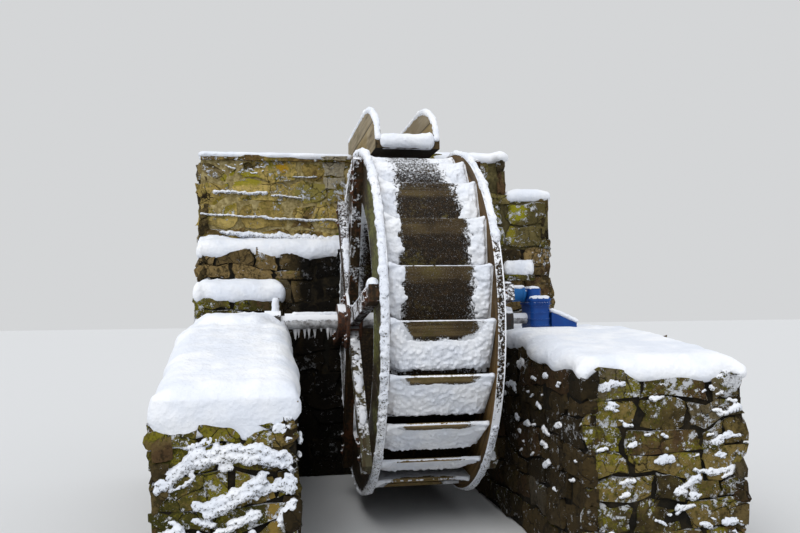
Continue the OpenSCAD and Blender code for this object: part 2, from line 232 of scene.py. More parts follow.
CAMERA_FROM_WHEEL = Vector((-1.332, -7.257, 0.153))
CAMERA_LENS = 36.47
CAMERA_YAW = math.radians(9.92)
CAMERA_UP = math.radians(2.58)
CAMERA_ROLL = math.radians(0.57)


def make_camera():
    data = bpy.data.cameras.new("photo_camera")
    data.lens = CAMERA_LENS
    data.sensor_width = 36
    camera = bpy.data.objects.new("photo_camera", data)
    bpy.context.scene.collection.objects.link(camera)
    turn = Matrix.Rotation(-CAMERA_YAW, 4, "Z") @ Matrix.Rotation(math.pi / 2 + CAMERA_UP, 4, "X")
    turn = turn @ Matrix.Rotation(-CAMERA_ROLL, 4, "Z")
    camera.matrix_world = Matrix.Translation(AXLE + CAMERA_FROM_WHEEL) @ turn
    bpy.context.scene.camera = camera


# Shader maths

class Val:
    """A number that varies over a surface, so that shader maths reads as an expression."""

    def __init__(self, nodes, socket):
        self.nodes, self.socket = nodes, socket

    def math(self, operation, *others):
        values = dict(enumerate((self, *others)))
        return Val(self.nodes, self.nodes.node("ShaderNodeMath", {"operation": operation}, values).outputs[0])

    def __add__(self, other):
        return self.math("ADD", other)

    __radd__ = __add__

    def __sub__(self, other):
        return self.math("SUBTRACT", other)

    def __rsub__(self, other):
        return self * -1 + other

    def __mul__(self, other):
        return self.math("MULTIPLY", other)

    __rmul__ = __mul__

    def __truediv__(self, other):
        return self.math("DIVIDE", other)

    def __pow__(self, other):
        return self.math("POWER", other)

    def __abs__(self):
        return self.math("ABSOLUTE")

    def rise(self, low, high):
        """0 below low, 1 above high and smooth between them."""
        settings = {"interpolation_type": "SMOOTHSTEP"}
        inputs = {"Value": self, "From Min": low, "From Max": high}
        return Val(self.nodes, self.nodes.node("ShaderNodeMapRange", settings, inputs).outputs["Result"])

    def fall(self, low, high):
        """1 below low, 0 above high and smooth between them."""
        return 1 - self.rise(low, high)

    def most(self, other):
        """The greater of two values."""
        return self.math("MAXIMUM", other)

    def least(self, other):
        """The lesser of two values."""
        return self.math("MINIMUM", other)

    def held(self):
        """The value held between 0 and 1."""
        return self.least(1.0).most(0.0)


class Nodes:
    """A tree of shader nodes, cleared and ready to be filled."""

    def __init__(self, tree):
        self.tree = tree
        tree.nodes.clear()

    def node(self, kind, settings=None, inputs=None):
        node = self.tree.nodes.new(kind)
        for key, value in (settings or {}).items():
            setattr(node, key, value)
        for key, value in (inputs or {}).items():
            self.feed(node.inputs[key], value)
        return node

    def feed(self, socket, value):
        """Links a socket, or sets it. Three numbers are a colour."""
        value = value.socket if isinstance(value, Val) else value
        if isinstance(value, bpy.types.NodeSocket):
            self.tree.links.new(value, socket)
        else:
            socket.default_value = (*value, 1) if isinstance(value, tuple) else value


class Look(Nodes):
    """One material: a shader, the object's own coordinates and the nodes that vary it."""

    def __init__(self, name, shine=0.5):
        self.name = name
        self.material = bpy.data.materials.new(name)
        self.material.use_nodes = True
        super().__init__(self.material.node_tree)
        self.shader = self.node("ShaderNodeBsdfPrincipled", {}, {"Specular IOR Level": shine})
        self.node("ShaderNodeOutputMaterial", {}, {"Surface": self.shader.outputs[0]})
        coordinates = self.node("ShaderNodeTexCoord")
        self.place = coordinates.outputs["Object"]
        self.x, self.y, self.z = self.parts(self.place)
        self.facing_x, self.facing_y, self.facing_z = self.parts(coordinates.outputs["Normal"])

    def parts(self, vector):
        """The three values of a vector."""
        split = self.node("ShaderNodeSeparateXYZ", {}, {"Vector": vector})
        return [Val(self, socket) for socket in split.outputs]

    def along(self, x, y, z):
        """A vector from three values."""
        return self.node("ShaderNodeCombineXYZ", {}, {"X": x, "Y": y, "Z": z}).outputs[0]

    def noise(self, scale, detail=3, rough=0.5, place=None):
        inputs = {"Vector": place or self.place, "Scale": scale, "Detail": detail, "Roughness": rough}
        return Val(self, self.node("ShaderNodeTexNoise", {}, inputs).outputs["Fac"])

    def cell_edges(self, scale, place):
        """Distance to the nearest edge between irregular cells."""
        settings = {"feature": "DISTANCE_TO_EDGE"}
        cells = self.node("ShaderNodeTexVoronoi", settings, {"Vector": place, "Scale": scale})
        return Val(self, cells.outputs["Distance"])

    def attribute(self, name):
        return Val(self, self.node("ShaderNodeAttribute", {"attribute_name": name}).outputs["Fac"])

    def blend(self, share, low, high):
        """A colour between two others."""
        return self.node("ShaderNodeMix", {"data_type": "RGBA"}, {0: share, 6: low, 7: high}).outputs[2]

    def speckle(self, amount, scale, soft=0.06):
        """A mask of fine frost: amount 0 leaves none, 1 covers all, and between them it breaks into speckles."""
        dots = self.noise(scale, 4, 0.7)
        return (dots + amount.least(1.0) - 0.5).rise(0.5 - soft / 2, 0.5 + soft)

    def finish(self, colour, roughness, height=None, depth=0.01):
        self.feed(self.shader.inputs["Base Color"], colour)
        self.feed(self.shader.inputs["Roughness"], roughness)
        if height is not None:
            bump = self.node("ShaderNodeBump", {}, {"Strength": 1.0, "Distance": depth, "Height": height})
            self.feed(self.shader.inputs["Normal"], bump.outputs[0])
        return self

    def frosted(self, colour, roughness, height, depth, frost, tone=SNOW):
        """The finish with frost over it where the frost's mask is 1."""
        crystal = self.noise(150, 2)
        white = self.blend(crystal.fall(0.3, 0.7) * 0.35, tone, SNOW_SHADE)
        rough = roughness * (1 - frost) + frost * 0.65
        raised = height + frost * (0.8 + crystal * 0.4)
        return self.finish(self.blend(frost, colour, white), rough, raised, depth)


# Looks of snow and ice

def snow_look(name, specks=0.0):
    """Snow. Specks is how much of what lies under it shows through, most of all on its lower sides."""
    look = Look(name, 0.2)
    drift = look.noise(3.5, 3)
    crystals = look.noise(260, 2)
    soft = look.noise(28, 4)
    colour = look.blend(drift.rise(0.35, 0.65), SNOW_SHADE, SNOW)
    height = soft * 0.7 + crystals * 0.12
    if specks:
        shows = look.noise(70, 5, 0.78) + look.facing_z.fall(-0.6, 0.5) * 0.09 + specks
        shows = shows.rise(0.635, 0.665)
        colour = look.blend(shows * 0.92, colour, look.blend(soft.rise(0.4, 0.6), WET_WOOD_AND_SHADE, OLIVE_WOOD))
        height = height - shows * 0.5
    return look.finish(colour, 0.62, height, 0.016)


def ice_look():
    look = Look("ice")
    wave = look.noise(14, 4)
    colour = look.blend(wave.rise(0.4, 0.7), ICE, SNOW)
    return look.finish(colour, 0.28 + wave * 0.3, wave, 0.012)


# Looks of timber

def wheel_place(look):
    """Radius and angle in the wheel's plane. The angle breaks where two rim segments meet."""
    up = look.z - AXLE_Z
    near = look.y * -1
    turned_near = near * math.cos(FIRST_ARM) + up * math.sin(FIRST_ARM)
    turned_up = up * math.cos(FIRST_ARM) - near * math.sin(FIRST_ARM)
    radius = (near * near + up * up) ** 0.5
    return radius, turned_up.math("ARCTAN2", turned_near)


def grain(look, lengthways, across, through, cut=30.0):
    """Wood grain with long streaks: returns the streaks and the fine fibres."""
    place = look.along(lengthways * 1.6, across * cut, through * cut)
    fibres = look.along(lengthways * 9, across * cut * 6, through * cut * 6)
    return look.noise(1.0, 5, 0.6, place), look.noise(1.0, 3, 0.6, fibres)


def bucket_look():
    """Boards with worn lips, frost at their ends and sheets of ice on the wheel's lower half."""
    look = Look("bucket_boards", 0.15)
    radius, _ = wheel_place(look)
    streaks, fibres = grain(look, look.x, look.y, look.z)
    wide = look.noise(4.5, 3)
    mottle = look.noise(42, 4, 0.7)
    low = look.z.fall(AXLE_Z - 0.14, AXLE_Z + 0.05)
    lip = radius.rise(LIP_R - LIP_BOARD * 0.72, LIP_R - LIP_BOARD * 0.52)
    dark = look.blend((mottle * 0.75 + streaks * 0.25).rise(0.42, 0.72), WET_WOOD_AND_SHADE, BROWN_WOOD)
    dark = look.blend((wide * 0.6 + mottle * 0.4).rise(0.55, 0.68) * 0.7, dark, OLIVE_WOOD)
    pale = look.blend(streaks.rise(0.3, 0.62), BROWN_WOOD, TAN_WOOD)
    pale = look.blend((wide * 0.5 + mottle * 0.5).rise(0.47, 0.6) * 0.6, pale, OLIVE_WOOD)
    worn = (wide * 2.2 - 0.45 + low * 0.5).held()
    colour = look.blend(lip * worn * (0.45 + low * 0.5), dark, pale)
    ragged = look.noise(9, 4) - 0.5
    fine = look.noise(34, 4, 0.7) - 0.5
    ends = (abs(look.x + 0.015) + ragged * 0.10 + fine * 0.20).rise(0.15, 0.36)
    top = (look.z + ragged * 0.15).rise(AXLE_Z + 0.80, AXLE_Z + 1.34)
    centre = abs(look.x - 0.02).fall(0.22, 0.34)
    aside = 0.045 * (1 - centre)
    aside = aside - look.z.rise(AXLE_Z - 0.28, AXLE_Z - 0.14) * centre * 0.022
    sheet_top = (radius + ragged * 0.07 + fine * 0.05).fall(LIP_R - 0.056 + aside, LIP_R - 0.026 + aside)
    sheet_foot = (radius + ragged * 0.02 + fine * 0.02).rise(ELBOW_R - 0.012, ELBOW_R + 0.020)
    sheet = low * sheet_top * sheet_foot
    upper_ends = ends * (1 - low * (1 - sheet_foot))
    worn_patch = look.noise(6.5, 4, 0.65).rise(0.60, 0.72) * 0.30
    amount = upper_ends * (0.62 - worn_patch) + top * 0.42 + sheet * (0.62 - worn_patch * 0.8) + 0.15
    dust = look.noise(170, 2, 0.6).rise(0.62, 0.70) * (1 - low) * 0.75
    frost = look.speckle(amount, 72, 0.12).most(dust)
    stretched = look.along(look.x * 0.5, look.y * 1.6, look.z * 1.6)
    clear = (look.noise(3.3, 5, 0.6, stretched) * 1.3 - 0.1).held()
    tone = look.blend(sheet * clear, SNOW, SHEET_ICE)
    height = streaks * 0.4 + fibres * 0.15 + mottle * 0.3 + frost * look.noise(11, 4, 0.6) * 1.6
    return look.frosted(colour, 0.45 + fibres * 0.25, height, 0.012, frost, tone)


def rim_look():
    """Boards that are green on the near left side, with frost on their edges."""
    look = Look("rim_boards", 0.15)
    radius, angle = wheel_place(look)
    streaks, fibres = grain(look, angle * 1.3, radius, look.x)
    wide = look.noise(3.2, 4)
    mottle = look.noise(38, 4, 0.7)
    colour = look.blend((streaks * 0.6 + mottle * 0.4).rise(0.38, 0.7), WET_WOOD_AND_SHADE, BROWN_WOOD)
    near = (look.y * -1).rise(0.3, 1.1)
    left_side = look.x.fall(-RIM_OUT + 0.004, -RIM_OUT + 0.02)
    high = look.z.rise(AXLE_Z - 0.75, AXLE_Z + 0.15)
    share = wide * 0.55 + mottle * 0.45 + near * 0.20 + high * 0.10 - 0.24
    green = left_side * share.rise(0.46, 0.60) * near.rise(0.05, 0.5) * 0.9
    colour = look.blend(green, colour, look.blend(mottle.rise(0.36, 0.62), MOSS, OLIVE_MOSS))
    far = look.y.rise(0.1, 0.7)
    inner_face = abs(look.x).fall(RIM_IN + 0.002, RIM_IN + 0.012)
    ochre = look.blend(streaks.rise(0.35, 0.6), BROWN_WOOD, OCHRE_WOOD)
    colour = look.blend(inner_face * (0.35 + wide * 0.8), colour, ochre)
    edge = radius.rise(RIM_R - 0.012, RIM_R - 0.002)
    side = abs(look.x).rise(RIM_OUT - 0.012, RIM_OUT - 0.002)
    ragged = look.noise(12, 4) - 0.5
    near_edge = side * (radius + ragged * 0.07).rise(RIM_R - 0.065, RIM_R - 0.005)
    inside = (1 - edge) * radius.fall(RIM_INNER_R + 0.003, RIM_INNER_R + 0.012)
    up = look.facing_z.rise(0.3, 0.8)
    middle_height = look.z.rise(AXLE_Z - 0.75, AXLE_Z - 0.45) * look.z.fall(AXLE_Z + 0.55, AXLE_Z + 0.8)
    bare = edge * look.x.rise(0.1, 0.2) * near * middle_height
    amount = edge * 0.50 + up * 0.3 + near_edge * 0.34 + inside * 0.25 + side * 0.15 + inner_face * 0.08
    amount = amount + 0.13 - bare * 0.15
    amount = amount + side * (1 - edge) * (far * 0.18 + look.noise(2.2, 3).rise(0.45, 0.65) * 0.10)
    height = streaks * 0.5 + fibres * 0.2 + mottle * 0.2
    return look.frosted(colour, 0.5 + fibres * 0.2, height, 0.009, look.speckle(amount, 46, 0.05))


def arm_look():
    """Wet timber with frost on its upper sides, paler low down on the near side."""
    look = Look("arm_timber", 0.15)
    radius, angle = wheel_place(look)
    streaks, fibres = grain(look, radius, look.x, angle * 1.1, 22)
    wide = look.noise(5, 3)
    mottle = look.noise(40, 4, 0.7)
    colour = look.blend((streaks * 0.6 + mottle * 0.4).rise(0.38, 0.7), WET_WOOD_AND_SHADE, BROWN_WOOD)
    colour = look.blend((wide * 0.5 + mottle * 0.5).rise(0.5, 0.62) * 0.7, colour, RED_WOOD)
    level = 1 - abs(look.facing_z).rise(0.05, 0.35)
    lower = look.z.fall(AXLE_Z - 0.5, AXLE_Z - 0.15)
    patch = look.noise(7, 3).rise(0.42, 0.56)
    drift = look.noise(3.1, 4, 0.6)
    near_side = (look.y * -1).rise(-0.2, 0.3)
    outer = abs(look.x).rise(ARM_OUT - 0.022, ARM_OUT - 0.002) * abs(look.facing_x).rise(0.5, 0.9)
    ragged = (look.noise(7.5, 5, 0.7) * 0.7 + drift * 0.3).rise(0.49, 0.53)
    amount = look.facing_z.rise(0.15, 0.6) * (0.42 - lower * near_side * 0.40)
    amount = amount + level * 0.02 + lower * patch * 0.03 + 0.12 + near_side * ragged * 0.40
    amount = amount + outer * (0.06 + wide.rise(0.4, 0.6) * 0.14) * (1 - near_side * 0.7)
    mossy = look.blend(streaks.rise(0.35, 0.65), BROWN_WOOD, GREY_MOSS)
    colour = look.blend(near_side * lower * 0.7, colour, mossy)
    height = streaks * 0.5 + fibres * 0.2 + mottle * 0.2
    tone = look.blend(drift.rise(0.4, 0.6), ICE, SNOW)
    return look.frosted(colour, 0.55 + fibres * 0.2, height, 0.008, look.speckle(amount, 46, 0.10), tone)


def trough_look():
    """Grey boards with a seam between two of them, and painted shade that darkens their undersides and the ends that
    face the near side.
    """
    look = Look("trough_boards", 0.15)
    streaks, fibres = grain(look, look.y, look.x, look.z, 24)
    wide = look.noise(2.6, 4)
    colour = look.blend(streaks.rise(0.3, 0.7), DULL_WOOD, GREY_WOOD)
    colour = look.blend(wide.rise(0.45, 0.65) * 0.55, colour, TAN_WOOD)
    upper_board = look.z.rise(TROUGH_SEAM - 0.002, TROUGH_SEAM + 0.002)
    colour = look.blend(upper_board * 0.35, colour, SILVER_WOOD)
    colour = look.blend((1 - upper_board) * wide.rise(0.40, 0.60) * 0.45, colour, HONEY_WOOD)
    seam = abs(look.z + (wide - 0.5) * 0.006 - TROUGH_SEAM).fall(0.003, 0.008)
    crack = streaks.fall(0.30, 0.36).most(seam)
    colour = look.blend(crack * 0.75, colour, WET_WOOD_AND_SHADE)
    colour = look.blend(look.noise(1.8, 5, 0.7).rise(0.52, 0.68) * 0.4, colour, OLIVE_WOOD)
    # Painted shade: faces that look down are painted dark.
    colour = look.blend(look.facing_z.fall(-0.9, -0.5), colour, WET_WOOD_AND_SHADE)
    # Painted shade: the ends that face the near side are painted dark.
    ends = look.facing_y.fall(-0.75, -0.45)
    colour = look.blend(ends * 0.92, colour, look.blend(streaks.rise(0.4, 0.65), WET_WOOD_AND_SHADE, BROWN_WOOD))
    amount = look.facing_z.rise(0.3, 0.8) * 0.8 + ends * look.z.rise(3.33, 3.5) * 0.42 + 0.03
    height = streaks * 0.7 + fibres * 0.25 - crack * 0.5
    return look.frosted(colour, 0.65 + fibres * 0.2, height, 0.007, look.speckle(amount, 60))


def batten_look():
    look = Look("batten_timber", 0.15)
    streaks, fibres = grain(look, look.x, look.y, look.z, 24)
    colour = look.blend(streaks.rise(0.35, 0.7), WET_WOOD_AND_SHADE, CHESTNUT_WOOD)
    return look.finish(colour, 0.6 + fibres * 0.2, streaks * 0.6 + fibres * 0.2, 0.006)


# Looks of stone

def stone_colour(look, shade, light, moss, stained):
    """The colour of stones that each have their own tint, with stains and moss, and how rough they are."""
    tint, tint_b = look.attribute("tint"), look.attribute("tint_b")
    rough = look.noise(7, 5, 0.65)
    patch = look.noise(1.7, 5, 0.65)
    mottle = look.noise(26, 6, 0.75)
    stain = look.noise(3.1, 6, 0.7, look.along(look.x * 1.4, look.y * 1.4, look.z * 0.7))
    colour = look.blend((tint * 0.55 + rough * 0.9 - 0.25).rise(0.05, 0.85), shade, light)
    colour = look.blend((tint_b + rough * 0.3).rise(0.98, 1.14) * 0.55, colour, GREY_STONE)
    colour = look.blend((tint_b * 0.5 + rough * 0.6).fall(0.30, 0.40) * 0.7, colour, RED_STONE)
    colour = look.blend((mottle * 0.7 + stain * 0.5).rise(0.57, 0.70) * stained, colour, DARK_STONE)
    green = (patch * 0.7 + mottle * 0.45 + look.facing_z * 0.12 - 0.08).rise(0.60 - moss, 0.70 - moss)
    bright = (look.noise(4.5, 4) * 0.6 + look.noise(55, 3, 0.7) * 0.5).rise(0.50, 0.64)
    return look.blend(green * 0.85, colour, look.blend(bright, MOSS, BRIGHT_MOSS)), rough


def stone_look(name, shade, light, moss=0.0, snow=0.0, pit_shade=0.0, stained=0.85, behind_wheel=0.0, spots=()):
    """Stone with moss and snow, and painted shade: the argument after snow is how black the stone is painted towards
    the pit's floor, and behind_wheel how black it is painted behind the wheel.
    """
    look = Look(name, 0.12)
    colour, rough = stone_colour(look, shade, light, moss, stained)
    pits = look.noise(48, 6, 0.78)
    for x, z, wide, tall, tint in spots:
        aside, above = look.x - x, look.z - z
        away = (aside * aside / wide ** 2 + above * above / tall ** 2) ** 0.5
        away = away + (rough - 0.5) * 1.4 + (pits - 0.5) * 0.5
        colour = look.blend(away.fall(0.6, 1.0) * 0.85, colour, tint)
    shifted = look.along(look.x + rough * 0.12, look.y + rough * 0.12, look.z)
    crack = look.cell_edges(7.5, shifted).fall(0.010, 0.030) * look.noise(2.3, 2).rise(0.46, 0.56)
    colour = look.blend(crack * 0.85, colour, CRACK)
    # Painted shade: the stone is painted black towards the pit's floor and behind the wheel, where the pit lies in
    # deep shade.
    depth = look.z.fall(1.2, 2.3) * pit_shade
    if behind_wheel:
        behind = (look.x + rough * 0.2).rise(-0.92, -0.74) * look.x.fall(0.45, 0.7)
        depth = (depth * look.x.fall(0.6, 1.0)).most(behind * behind_wheel)
    colour = look.blend(depth, colour, PIT_SHADE_BLACK)
    drift = look.noise(3.4, 4, 0.6)
    lie = (look.facing_z + (drift - 0.5) * 1.6 + snow).rise(0.5, 0.9) * (1 - depth * 0.7)
    crusts = look.noise(17, 6, 0.8) * 0.75 + drift * 0.35 + look.noise(95, 2) * 0.10 + snow * 0.22
    crusts = crusts.rise(0.680, 0.700) * (1 - depth * 0.8)
    frost = look.speckle(lie * 0.42 + 0.13, 34, 0.08).most(crusts)
    height = rough * 0.9 + pits * 0.6 - crack * 0.5
    return look.frosted(colour, 0.8 + pits * 0.12, height, 0.055, frost)


def mortar_look(name, shade, light, stained=1.0):
    look = Look(name, 0.15)
    rough = look.noise(24, 5, 0.65)
    patch = look.noise(2.4, 4, 0.6)
    colour = look.blend(rough.rise(0.35, 0.7), shade, light)
    colour = look.blend(patch.fall(0.42, 0.56) * stained, colour, MORTAR)
    frost = look.speckle(look.facing_z.rise(0.3, 0.8) * 0.5 + 0.10, 40)
    return look.frosted(colour, 0.85, rough, 0.02, frost)


# Looks of metal

def hub_look():
    look = Look("rusty_iron")
    flake = look.noise(30, 5, 0.65)
    colour = look.blend(flake.rise(0.4, 0.62), DARK_RUST, RUST)
    colour = look.blend(look.noise(75, 3).rise(0.6, 0.7) * 0.5, colour, BRIGHT_RUST)
    frost = look.speckle(look.facing_z.rise(0.2, 0.8) * 0.7 + 0.13, 60)
    return look.frosted(colour, 0.7 + flake * 0.2, flake, 0.006, frost)


def shaft_look():
    look = Look("iced_steel")
    wave = look.noise(16, 5, 0.6)
    colour = look.blend(wave.rise(0.35, 0.6), DULL_STEEL, ICE)
    frost = look.speckle(look.facing_z.rise(-0.5, 0.6) * 0.6 + 0.22, 40)
    return look.frosted(colour, 0.35 + wave * 0.3, wave, 0.008, frost)


def iron_look():
    look = Look("bearing_iron")
    flake = look.noise(40, 4)
    colour = look.blend(flake.rise(0.45, 0.65), DARK_IRON, DARK_RUST)
    frost = look.speckle(look.facing_z.rise(0.2, 0.8) * 0.8 + 0.08, 60)
    return look.frosted(colour, 0.55 + flake * 0.2, flake, 0.004, frost)


def paint_look(name, paint, worn):
    look = Look(name, 0.3)
    orange_peel = look.noise(140, 2)
    wide = look.noise(9, 4)
    colour = look.blend(wide.rise(0.35, 0.7), paint, worn)
    chips = look.noise(45, 4, 0.7).rise(0.70, 0.73)
    colour = look.blend(chips * 0.8, colour, DARK_RUST)
    frost = look.speckle(look.facing_z.rise(0.3, 0.8) * 0.55 + 0.02, 80)
    return look.frosted(colour, 0.34 + wide * 0.2, orange_peel * 0.3 - chips * 0.4, 0.002, frost)


# Modelling helpers

def deselect():
    for obj in bpy.context.view_layer.objects:
        obj.select_set(False)


def pick(*pieces):
    """Selects these pieces alone and makes the first of them the active one."""
    deselect()
    for piece in pieces:
        piece.select_set(True)
    bpy.context.view_layer.objects.active = pieces[0]


def modify(piece, kind, **settings):
    pick(piece)
    modifier = piece.modifiers.new(kind.lower(), kind)
    for key, value in settings.items():
        setattr(modifier, key, value)
    bpy.ops.object.modifier_apply(modifier=modifier.name)


def join(pieces, name):
    """Makes one piece of several."""
    pick(*pieces)
    if len(pieces) > 1:
        bpy.ops.object.join()
    made = pieces[0]
    made.name = name
    made.data.name = name
    return made


def edit_whole():
    """Opens the active piece for editing with all of it selected."""
    bpy.ops.object.mode_set(mode="EDIT")
    bpy.ops.mesh.select_all(action="SELECT")


def scatter(start, places, name, tints=None):
    """Copies of a start piece at many places, each with its own mesh, joined into one piece."""
    copies = []
    for index, place in enumerate(places):
        copy = start.copy()
        copy.data = start.data.copy()
        copy.data.transform(place)
        if tints:
            for key, value in tints[index].items():
                values = copy.data.attributes.new(key, "FLOAT", "FACE")
                values.data.foreach_set("value", [value] * len(copy.data.polygons))
        bpy.context.scene.collection.objects.link(copy)
        copies.append(copy)
    bpy.data.objects.remove(start)
    return join(copies, name)


def dress(piece, look, body, smooth=40):
    """Gives a finished piece its look, its shading and the body that it rides on."""
    piece.data.materials.clear()
    piece.data.materials.append(LOOKS[look])
    pick(piece)
    bpy.ops.object.shade_smooth_by_angle(angle=math.radians(smooth))
    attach(piece, body)
    return piece


def put(centre, size, turn=(0, 0, 0)):
    """Where a copy goes, how large it is and how it is turned."""
    return Matrix.LocRotScale(Vector(centre), Euler(turn), Vector(size))


def put_turned(centre, size, turn):
    """The same, with the turn as a matrix."""
    return Matrix.Translation(centre) @ turn @ Matrix.Diagonal((*size, 1))


def axes(x, y, z):
    """The turn that points a piece's own axes along these three."""
    return Matrix((x, y, z)).transposed().to_4x4()


def clouds(name, scale):
    """A soft random pattern that displaces a piece's surface."""
    texture = bpy.data.textures.new(name, "CLOUDS")
    texture.noise_scale = scale
    return texture


# Heaps of snow

def ball():
    """A round lump of radius 1, the start of every heap."""
    deselect()
    bpy.ops.mesh.primitive_ico_sphere_add(subdivisions=2, radius=1)
    return bpy.context.object


def heap(name, places, grain_size, ripple, smooth, body="pit", look="snow", crumbs=4):
    """Lumps of snow run together into one closed, soft piece."""
    piece = scatter(ball(), places, name)
    modify(piece, "REMESH", mode="VOXEL", voxel_size=grain_size)
    modify(piece, "SMOOTH", factor=0.6, iterations=smooth)
    texture = clouds(name, grain_size * crumbs)
    modify(piece, "DISPLACE", texture=texture, strength=ripple, mid_level=0.5)
    return dress(piece, look, body, 180)


def crust(name, places, ripple=0.020, crumbs=2):
    """Thin, broken snow on a wall's face."""
    heap(name, places, 0.009, ripple, 1, look="thin_snow", crumbs=crumbs)


def cover(rng, corner, along, across, depth, cell, droop=0.4, bank=0.0):
    """Lumps that cover a four-sided top evenly. The bank makes them thicker towards the far end of along."""
    corner, along, across = Vector(corner), Vector(along), Vector(across)
    rows = max(2, round(along.length / cell))
    columns = max(2, round(across.length / cell))
    reach = Vector((along.length / rows, across.length / columns)).length * 0.8
    places = []
    for row in range(rows + 1):
        for column in range(columns + 1):
            centre = corner + along * (row / rows) + across * (column / columns)
            centre += Vector((rng.uniform(-1, 1), rng.uniform(-1, 1), 0)) * cell * 0.08
            thick = (depth + bank * (row / rows) ** 2) * rng.uniform(0.93, 1.07)
            if 0 < row < rows and 0 < column < columns:
                size = reach * rng.uniform(0.98, 1.08)
                places.append(put(centre, (size, size, thick), (0, 0, rng.uniform(0, 3))))
    edges = ((along, across, corner, None), (along, -across, corner + across, None),
             (across, along, corner, 0.0), (across, -along, corner + along, 1.0))
    for side, shift, start, end in edges:
        inward = shift.normalized()
        phase = rng.uniform(0, 6)
        share = 0.0
        while share <= 1.0:
            run = share * side.length
            swing = math.sin(run * 5.1 + phase) * 0.6 + math.sin(run * 13.7 + phase * 2) * 0.4
            thick = (depth + bank * (share if end is None else end) ** 2) * 0.85
            size = cell * (0.50 + 0.10 * swing) * rng.uniform(0.92, 1.08)
            spot = start + side * share + inward * (cell * 0.12 * (1 - swing))
            spot.z -= depth * droop * (0.5 + 0.5 * swing) * rng.uniform(0.8, 1.1)
            places.append(put(spot, (size, size, thick * rng.uniform(0.95, 1.05)), (0, 0, rng.uniform(0, 3))))
            share += cell * 0.42 / side.length
    return places


def cover_top(rng, low_x, high_x, low_y, high_y, z, depth, cell, droop=0.4, bank=0.0):
    """Lumps that cover a level top between two x and two y."""
    along, across = (0, high_y - low_y, 0), (high_x - low_x, 0, 0)
    return cover(rng, (low_x, low_y, z), along, across, depth, cell, droop, bank)


# Stones

def stone_start(seed):
    """A rough squared stone of size 1, a few dozen faces."""
    deselect()
    bpy.ops.mesh.primitive_cube_add(size=1)
    stone = bpy.context.object
    edit_whole()
    bpy.ops.mesh.subdivide(number_cuts=2)
    bpy.ops.mesh.vertices_smooth(factor=0.13, repeat=2)
    bpy.ops.transform.vertex_random(offset=0.07, uniform=1.0, seed=seed)
    bpy.ops.object.mode_set(mode="OBJECT")
    size = stone.dimensions
    stone.data.transform(Matrix.Diagonal((1 / size.x, 1 / size.y, 1 / size.z, 1)))
    return stone


def top_z(block, box, x, y):
    """Height of a block's top. A side wall rises from its front, and the right head wall has a low shoulder."""
    low, high = box
    if block in SLOPES:
        level, front, slope_end = SLOPES[block]
        share = min(1.0, max(0.0, (y - low[1]) / (slope_end - low[1])))
        return front + (level - front) * share
    if block == "head_wall_right" and x > SHOULDER_X + 0.001:
        return SHOULDER_TOP
    return high[2]


def courses(rng, length, limit, top_at, low, high, short, long):
    """Stones of a wall's face: for each, its middle along and up the face, its width and its height."""
    stones = []
    foot = 0.0
    while foot < limit - 0.03:
        rise = min(rng.uniform(low, high), limit - foot)
        if limit - foot - rise < low * 0.5:
            rise = limit - foot
        start = 0.0
        while start < length - 0.01:
            width = rng.uniform(short, long)
            if length - start - width < short * 0.7:
                width = length - start
            middle = start + width / 2
            roof = min(top_at(start), top_at(start + width), top_at(middle))
            height = min(rise, roof - foot)
            if height > 0.035:
                stones.append((middle, foot + height / 2, width, height))
            start += width
        foot += rise
    return stones


def face_of_stones(name, seed, block, box, side, look):
    """Lays stones on one side of a block, in courses that follow the block's top."""
    low, high = box
    at_high_x, at_high_y, along, out = SIDES[side]
    corner = (box[at_high_x][0], box[at_high_y][1], low[2])
    length = high[0] - low[0] if along[0] else high[1] - low[1]
    along, out = Vector(along), Vector(out)

    def top_at(run):
        return top_z(block, box, corner[0] + along[0] * run, corner[1] + along[1] * run) - low[2]

    sizes = BIG_BLOCKS if look in ("yellow_stone", "olive_stone", "mossy_stone") else RUBBLE
    proud = 0.024 if look == "yellow_stone" else 0.034
    limit = max(top_at(0.001), top_at(length - 0.001))
    rng = random.Random(seed)
    turn = axes(along, out, UP)
    groups = [([], []) for _ in range(4)]
    for middle, up, width, height in courses(rng, length, limit, top_at, *sizes):
        jut = proud * rng.uniform(0.45, 1.15)
        if middle - width / 2 < 0.01:
            middle, width = middle - 0.012, width + 0.024
        if middle + width / 2 > length - 0.01:
            middle, width = middle + 0.012, width + 0.024
        centre = Vector(corner) + along * middle + UP * up + out * (jut - STONE_DEPTH / 2)
        wide = width + STONE_OVERLAP * rng.uniform(-0.6, 1.2)
        tall = height + STONE_OVERLAP * rng.uniform(-0.6, 1.2)
        lean = Euler((rng.uniform(-0.05, 0.05), rng.uniform(-0.03, 0.03), rng.uniform(-0.05, 0.05)))
        mirror = Matrix.Diagonal((rng.choice((-1, 1)), 1, 1, 1))
        flip = mirror @ Matrix.Rotation(rng.choice((0, math.pi)), 4, "Y")
        place = put_turned(centre, (wide, STONE_DEPTH, tall), turn @ lean.to_matrix().to_4x4()) @ flip
        places, tints = groups[rng.randrange(len(groups))]
        places.append(place)
        tints.append({"tint": rng.random(), "tint_b": rng.random()})
    parts = [scatter(stone_start(seed * 10 + index), places, name, tints)
             for index, (places, tints) in enumerate(groups) if places]
    wall = join(parts, name)
    warp = clouds(name, 0.30)
    warp.cloud_type = "COLOR"
    before = [vertex.co.copy() for vertex in wall.data.vertices]
    modify(wall, "DISPLACE", texture=warp, texture_coords="GLOBAL", direction="RGB_TO_XYZ",
           strength=0.20, mid_level=0.5)
    roof = corner[2] + limit + 0.035
    for vertex, place in zip(wall.data.vertices, before):
        vertex.co -= out * ((vertex.co - place).dot(out) * 0.75)
        vertex.co.z = min(max(vertex.co.z, 0.0), roof)
    edit_whole()
    bpy.ops.mesh.normals_make_consistent(inside=False)
    bpy.ops.object.mode_set(mode="OBJECT")
    dress(wall, look, "pit", 50)


